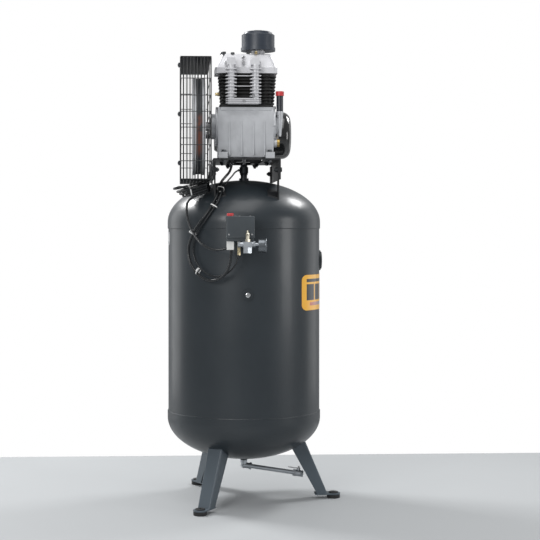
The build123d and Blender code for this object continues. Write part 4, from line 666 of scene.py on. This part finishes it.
# --- fittings and fasteners that the eye picks out -----------------------------------------------
def turned(bm, centre, direction, profile, segments=28, hex_from=None):
    """A solid turned about a line; from step hex_from on, its rings are hexagons (a key's recess)."""
    direction = Vector(direction).normalized()
    side = direction.orthogonal().normalized()
    up = direction.cross(side)
    rings = []
    for index, (radius, height) in enumerate(profile):
        ring = []
        for step in range(segments):
            angle = 2 * math.pi * step / segments
            grow = 1.0
            if hex_from is not None and index >= hex_from:
                grow = 0.866 / math.cos((angle % (math.pi / 3)) - math.pi / 6)
            spoke = side * math.cos(angle) + up * math.sin(angle)
            ring.append(bm.verts.new(Vector(centre) + spoke * radius * grow + direction * height))
        rings.append(ring)
    stitch(bm, rings)
    bm.faces.new(rings[0])
    bm.faces.new(rings[-1])


def screws(name, places, direction, radius, height, look):
    """Socket screws in a row of places."""
    profile = [(radius, 0), (radius, height * 0.85), (radius * 0.88, height), (radius * 0.52, height),
               (radius * 0.52, height * 0.35)]

    def build(bm):
        for place in places:
            turned(bm, place, direction, profile, 24, 3)

    sharpen(mesh_object(name, build, look.material))


def hexagons(name, parts, look):
    """Small turned and hexagonal fittings: centre, direction, radius, height, and if it's a hexagon."""
    def build(bm):
        for centre, direction, radius, height, is_hex in parts:
            profile = [(radius * 0.94, 0), (radius, height * 0.08), (radius, height * 0.9),
                       (radius * 0.9, height)]
            turned(bm, centre, direction, profile, 24, 0 if is_hex else None)

    sharpen(mesh_object(name, build, look.material))


TANK_R = 0.300
BEAD = [(-0.0008, -0.0036), (0.0009, -0.0022), (0.0014, 0), (0.0009, 0.0022), (-0.0008, 0.0036)]


def weld_bead(name, middle_z):
    """A flat, rippled weld round the receiver."""
    def build(bm):
        steps = 720
        rings = []
        for step in range(steps):
            angle = 2 * math.pi * step / steps
            radius = TANK_R + 0.00025 * math.sin(angle * 150) + 0.0002 * math.sin(angle * 37)
            rings.append([bm.verts.new(((radius + out) * math.cos(angle), (radius + out) * math.sin(angle),
                                        middle_z + up)) for out, up in BEAD])
        stitch(bm, rings, around=False, closed=True)

    mesh_object(name, build, tank_paint.material)


weld_bead("weld_upper", 1.076)
weld_bead("weld_lower", 0.354)


PLATE_ANGLE = math.radians(93)
PLATE_HALF = 0.042 / TANK_R
PLATE_LIFT = 0.0002
PLATE_THICK = 0.0008


def rating_plate(bm):
    """A thin blank plate bent round the receiver."""
    steps = 24
    grid = []
    for step in range(steps + 1):
        angle = PLATE_ANGLE + PLATE_HALF * (2 * step / steps - 1)
        column = []
        for radius in (TANK_R + PLATE_LIFT, TANK_R + PLATE_LIFT + PLATE_THICK):
            for z in (1.010, 1.060):
                column.append(bm.verts.new((radius * math.cos(angle), radius * math.sin(angle), z)))
        grid.append(column)
    for here, there in zip(grid, grid[1:]):
        for a, b in ((0, 1), (1, 3), (3, 2), (2, 0)):
            bm.faces.new((here[a], here[b], there[b], there[a]))
    bm.faces.new((grid[0][0], grid[0][2], grid[0][3], grid[0][1]))
    bm.faces.new((grid[-1][0], grid[-1][1], grid[-1][3], grid[-1][2]))


plate_look = machined("data_plate", (0.78, 0.79, 0.80), 0.3, (1, 1, 40), 0.6)
mesh_object("data_plate", rating_plate, plate_look.material, smooth=False)
rivets = []
rivet_r = TANK_R + 0.0009
for side in (-1, 1):
    for z in (1.014, 1.056):
        angle = PLATE_ANGLE + side * PLATE_HALF * 0.92
        rivets.append((rivet_r * math.cos(angle), rivet_r * math.sin(angle), z))
plate_out = (math.cos(PLATE_ANGLE), math.sin(PLATE_ANGLE), 0)
hexagons("plate_rivets", [(place, plate_out, 0.0022, 0.0012, False) for place in rivets], steel)

# Pump: screws of the head, valve plate and intercooler, small brass fittings.
NEAR = (-1, 0, 0)
UP = (0, 0, 1)
BELT_SIDE = (0, 1, 0)
head_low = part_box("cylinder_head")[0]
cooler_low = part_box("intercooler")[0]
block_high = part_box("cylinder_block")[1]
HEAD_TOP_Z = 1.748
screws("head_screws_front", [(head_low.x + 0.006, 0.0115, 1.731), (head_low.x + 0.002, 0.0115, 1.711)],
       NEAR, 0.0064, 0.010, steel)
screws("head_screws_side", [(head_low.x + 0.002, 0.078, 1.711), (head_low.x + 0.002, -0.049, 1.711)],
       NEAR, 0.0062, 0.010, steel)
top_places = [(-0.130 + x, y, HEAD_TOP_Z - 0.003) for x in (-0.046, 0.046) for y in (0.052, 0.090)]
screws("head_screws_top", top_places, UP, 0.0075, 0.008, dark_bolt)
cooler_places = [(cooler_low.x + 0.003, 0.047, 1.578), (cooler_low.x + 0.003, -0.025, 1.580),
                 (cooler_low.x + 0.003, 0.012, 1.560)]
screws("cooler_screws", cooler_places, NEAR, 0.0052, 0.005, steel)
hexagons("cylinder_fitting",
         [((-0.190, block_high.y - 0.004, 1.590), BELT_SIDE, 0.0075, 0.008, True),
          ((-0.190, block_high.y + 0.003, 1.590), BELT_SIDE, 0.0058, 0.010, False)], brass)
hexagons("head_fitting", [((-0.185, -0.038, HEAD_TOP_Z - 0.002), UP, 0.0060, 0.008, True),
                          ((-0.185, -0.038, HEAD_TOP_Z + 0.005), UP, 0.0040, 0.004, False)], brass)
hexagons("head_test_port", [((-0.130, 0.092, HEAD_TOP_Z - 0.002), UP, 0.0070, 0.009, True),
                            ((-0.130, 0.092, HEAD_TOP_Z + 0.006), UP, 0.0038, 0.007, False)], steel)

# Gauge: a dark rolled rim, a white dial with ticks, and a glass.
GAUGE_AXIS = Vector((-0.430, -0.0605, 1.011))
FACE_OUT = Vector((0, -1, 0))
dial_look = Paint("gauge_dial", (0.86, 0.86, 0.84), 0.45)
dial_look.tint(0.02, 40.0)
glass_look = Paint("gauge_glass", (0.97, 0.98, 0.98), 0.05)
glass_look.tint(0.01, 60.0)
glass_look.uneven_gloss(0.02, 90.0)
glass_look.shader.inputs["Transmission Weight"].default_value = 1.0


def gauge_rim(bm):
    """A rolled bezel, open in the middle."""
    profile = [(0.0262, 0.006), (0.0266, 0.001), (0.0260, -0.0012), (0.0244, -0.0015), (0.0236, 0.0004),
               (0.0236, 0.006)]
    steps = 64
    rings = []
    for radius, back in profile:
        ring = []
        for step in range(steps):
            angle = 2 * math.pi * step / steps
            spoke = Vector((math.cos(angle), 0, math.sin(angle)))
            ring.append(bm.verts.new(GAUGE_AXIS - FACE_OUT * back + spoke * radius))
        rings.append(ring)
    stitch(bm, rings, closed=True)


TICK_OUTER_R = 0.0215
TICK_DEPTH = 0.0067


def gauge_ticks(bm):
    """Marks from zero to full scale, every fifth one longer."""
    for mark in range(51):
        angle = math.radians(225 - 5.4 * mark)
        inner_r, half = (0.0170, 0.0004) if mark % 5 == 0 else (0.0192, 0.0002)
        out = Vector((-math.cos(angle), 0, math.sin(angle)))
        side = FACE_OUT.cross(out) * half
        spots = [out * inner_r - side, out * inner_r + side, out * TICK_OUTER_R + side,
                 out * TICK_OUTER_R - side]
        bm.faces.new([bm.verts.new(GAUGE_AXIS + spot - FACE_OUT * TICK_DEPTH) for spot in spots])


mesh_object("gauge_bezel", gauge_rim, gauge_case.material)


def disc(y, radius, thick):
    """A thin round plate that faces the gauge's way."""
    return lambda bm: turned(bm, Vector((GAUGE_AXIS.x, y, GAUGE_AXIS.z)), FACE_OUT,
                             [(radius * 0.5, 0), (radius, 0), (radius, thick), (radius * 0.5, thick)], 48)


sharpen(mesh_object("gauge_dial", disc(-0.0534, 0.0232, 0.0003), dial_look.material))
sharpen(mesh_object("gauge_glass", disc(-0.0585, 0.0236, 0.0008), glass_look.material))
mesh_object("gauge_ticks", gauge_ticks, black_plastic.material, smooth=False)

# Switch and terminal box: screws and a parting lip.
switch_low, switch_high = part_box("switch_cover")
box_low, box_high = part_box("terminal_box")
screws("switch_screws", [(switch_low.x + 0.0315, y, switch_high.z - 0.0004) for y in (-0.004, 0.036)],
       UP, 0.0032, 0.0016, steel)
screws("switch_side_screws", [(switch_low.x + 0.0003, y, 1.052) for y in (-0.010, 0.075)],
       NEAR, 0.0030, 0.0014, steel)
screws("terminal_screws", [(x, y, box_high.z - 0.0005) for x in (box_low.x + 0.014, box_high.x - 0.008)
                           for y in (box_low.y + 0.012, box_high.y - 0.012)], UP, 0.0036, 0.0022, steel)


def switch_lip(bm):
    """The raised lip where the switch's cover meets its base."""
    proud = Vector((0.0012, 0.0012, 0))
    low = switch_low - proud
    high = switch_high + proud
    radius = 0.006
    outline = []
    for x, y, begin in ((high.x - radius, high.y - radius, 0), (low.x + radius, high.y - radius, 90),
                        (low.x + radius, low.y + radius, 180), (high.x - radius, low.y + radius, 270)):
        for step in range(7):
            angle = math.radians(begin + 15 * step)
            outline.append((x + radius * math.cos(angle), y + radius * math.sin(angle)))
    middle = ((low.x + high.x) / 2, (low.y + high.y) / 2)
    rings = []
    for inset, z in ((0.003, switch_low.z), (0, switch_low.z + 0.0003), (0, switch_low.z + 0.0032),
                     (0.003, switch_low.z + 0.0035)):
        ring = []
        for x, y in outline:
            toward = Vector((middle[0] - x, middle[1] - y, 0)).normalized() * inset
            ring.append(bm.verts.new(Vector((x, y, z)) + toward))
        rings.append(ring)
    stitch(bm, rings, closed=True)


mesh_object("switch_lip", switch_lip, switch_plastic.material)

# The socket in the side plug.
screws("side_plug_socket", [(-0.3150, 0.0, 0.824)], NEAR, 0.0088, 0.0040, chrome)

# --- stage ---------------------------------------------------------------------------------------
FLOOR_BACK = 1.03
floor_look = Paint("floor_paint", (0.45, 0.465, 0.475), 0.6)
floor_look.tint(0.015, 0.6)
floor_look.uneven_gloss(0.05, 2.0)
floor_look.bump(floor_look.noise(120.0, 2.0), 0.02, 0.0005)


def floor_sheet(bm):
    """The floor, which ends a metre behind the object."""
    corners = [(-9, -6, 0), (FLOOR_BACK, -6, 0), (FLOOR_BACK, 6, 0), (-9, 6, 0)]
    bm.faces.new([bm.verts.new(corner) for corner in corners])


floor = mesh_object("floor", floor_sheet, floor_look.material, body=None, smooth=False)

world = bpy.data.worlds.new("studio")
bpy.context.scene.world = world
world.use_nodes = True
sky = world.node_tree
ambient = sky.nodes["Background"]
ambient.inputs["Color"].default_value = (0.96, 0.98, 1, 1)
ambient.inputs["Strength"].default_value = 0.34
backdrop = sky.nodes.new("ShaderNodeBackground")
backdrop.inputs["Color"].default_value = (1, 1, 1, 1)
light_path = sky.nodes.new("ShaderNodeLightPath")
either = sky.nodes.new("ShaderNodeMixShader")
sky.links.new(light_path.outputs["Is Camera Ray"], either.inputs["Fac"])
sky.links.new(ambient.outputs["Background"], either.inputs[1])
sky.links.new(backdrop.outputs["Background"], either.inputs[2])
sky.links.new(either.outputs["Shader"], sky.nodes["World Output"].inputs["Surface"])


def soft_box(name, place, target, size, power):
    """A large soft lamp."""
    lamp = link(bpy.data.objects.new(name, bpy.data.lights.new(name, "AREA")))
    lamp.data.shape = "RECTANGLE"
    lamp.data.size = size[0]
    lamp.data.size_y = size[1]
    lamp.data.energy = power
    lamp.location = place
    lamp.rotation_euler = (Vector(target) - Vector(place)).to_track_quat("-Z", "Y").to_euler()


soft_box("left_rim", (2.4, 3.4, 1.4), (0, 0, 0.9), (2.2, 3.0), 30)
soft_box("right_rim", (2.0, -3.4, 1.4), (0, 0, 0.9), (2.0, 3.0), 14)
soft_box("overhead", (-0.9, 0.2, 3.4), (0, 0, 1.0), (1.8, 2.4), 30)
soft_box("front_fill", (-3.8, 1.8, 2.3), (0, 0, 1.2), (1.6, 1.6), 60)
soft_box("dome_left", (1.5, 1.9, 3.1), (0, 0, 1.2), (0.9, 0.7), 95)
soft_box("dome_right", (1.3, -1.9, 3.1), (0, 0, 1.2), (0.9, 0.7), 46)
soft_box("sign_fill", (-1.6, -3.0, 1.3), (0, 0, 1.0), (1.0, 1.6), 22)
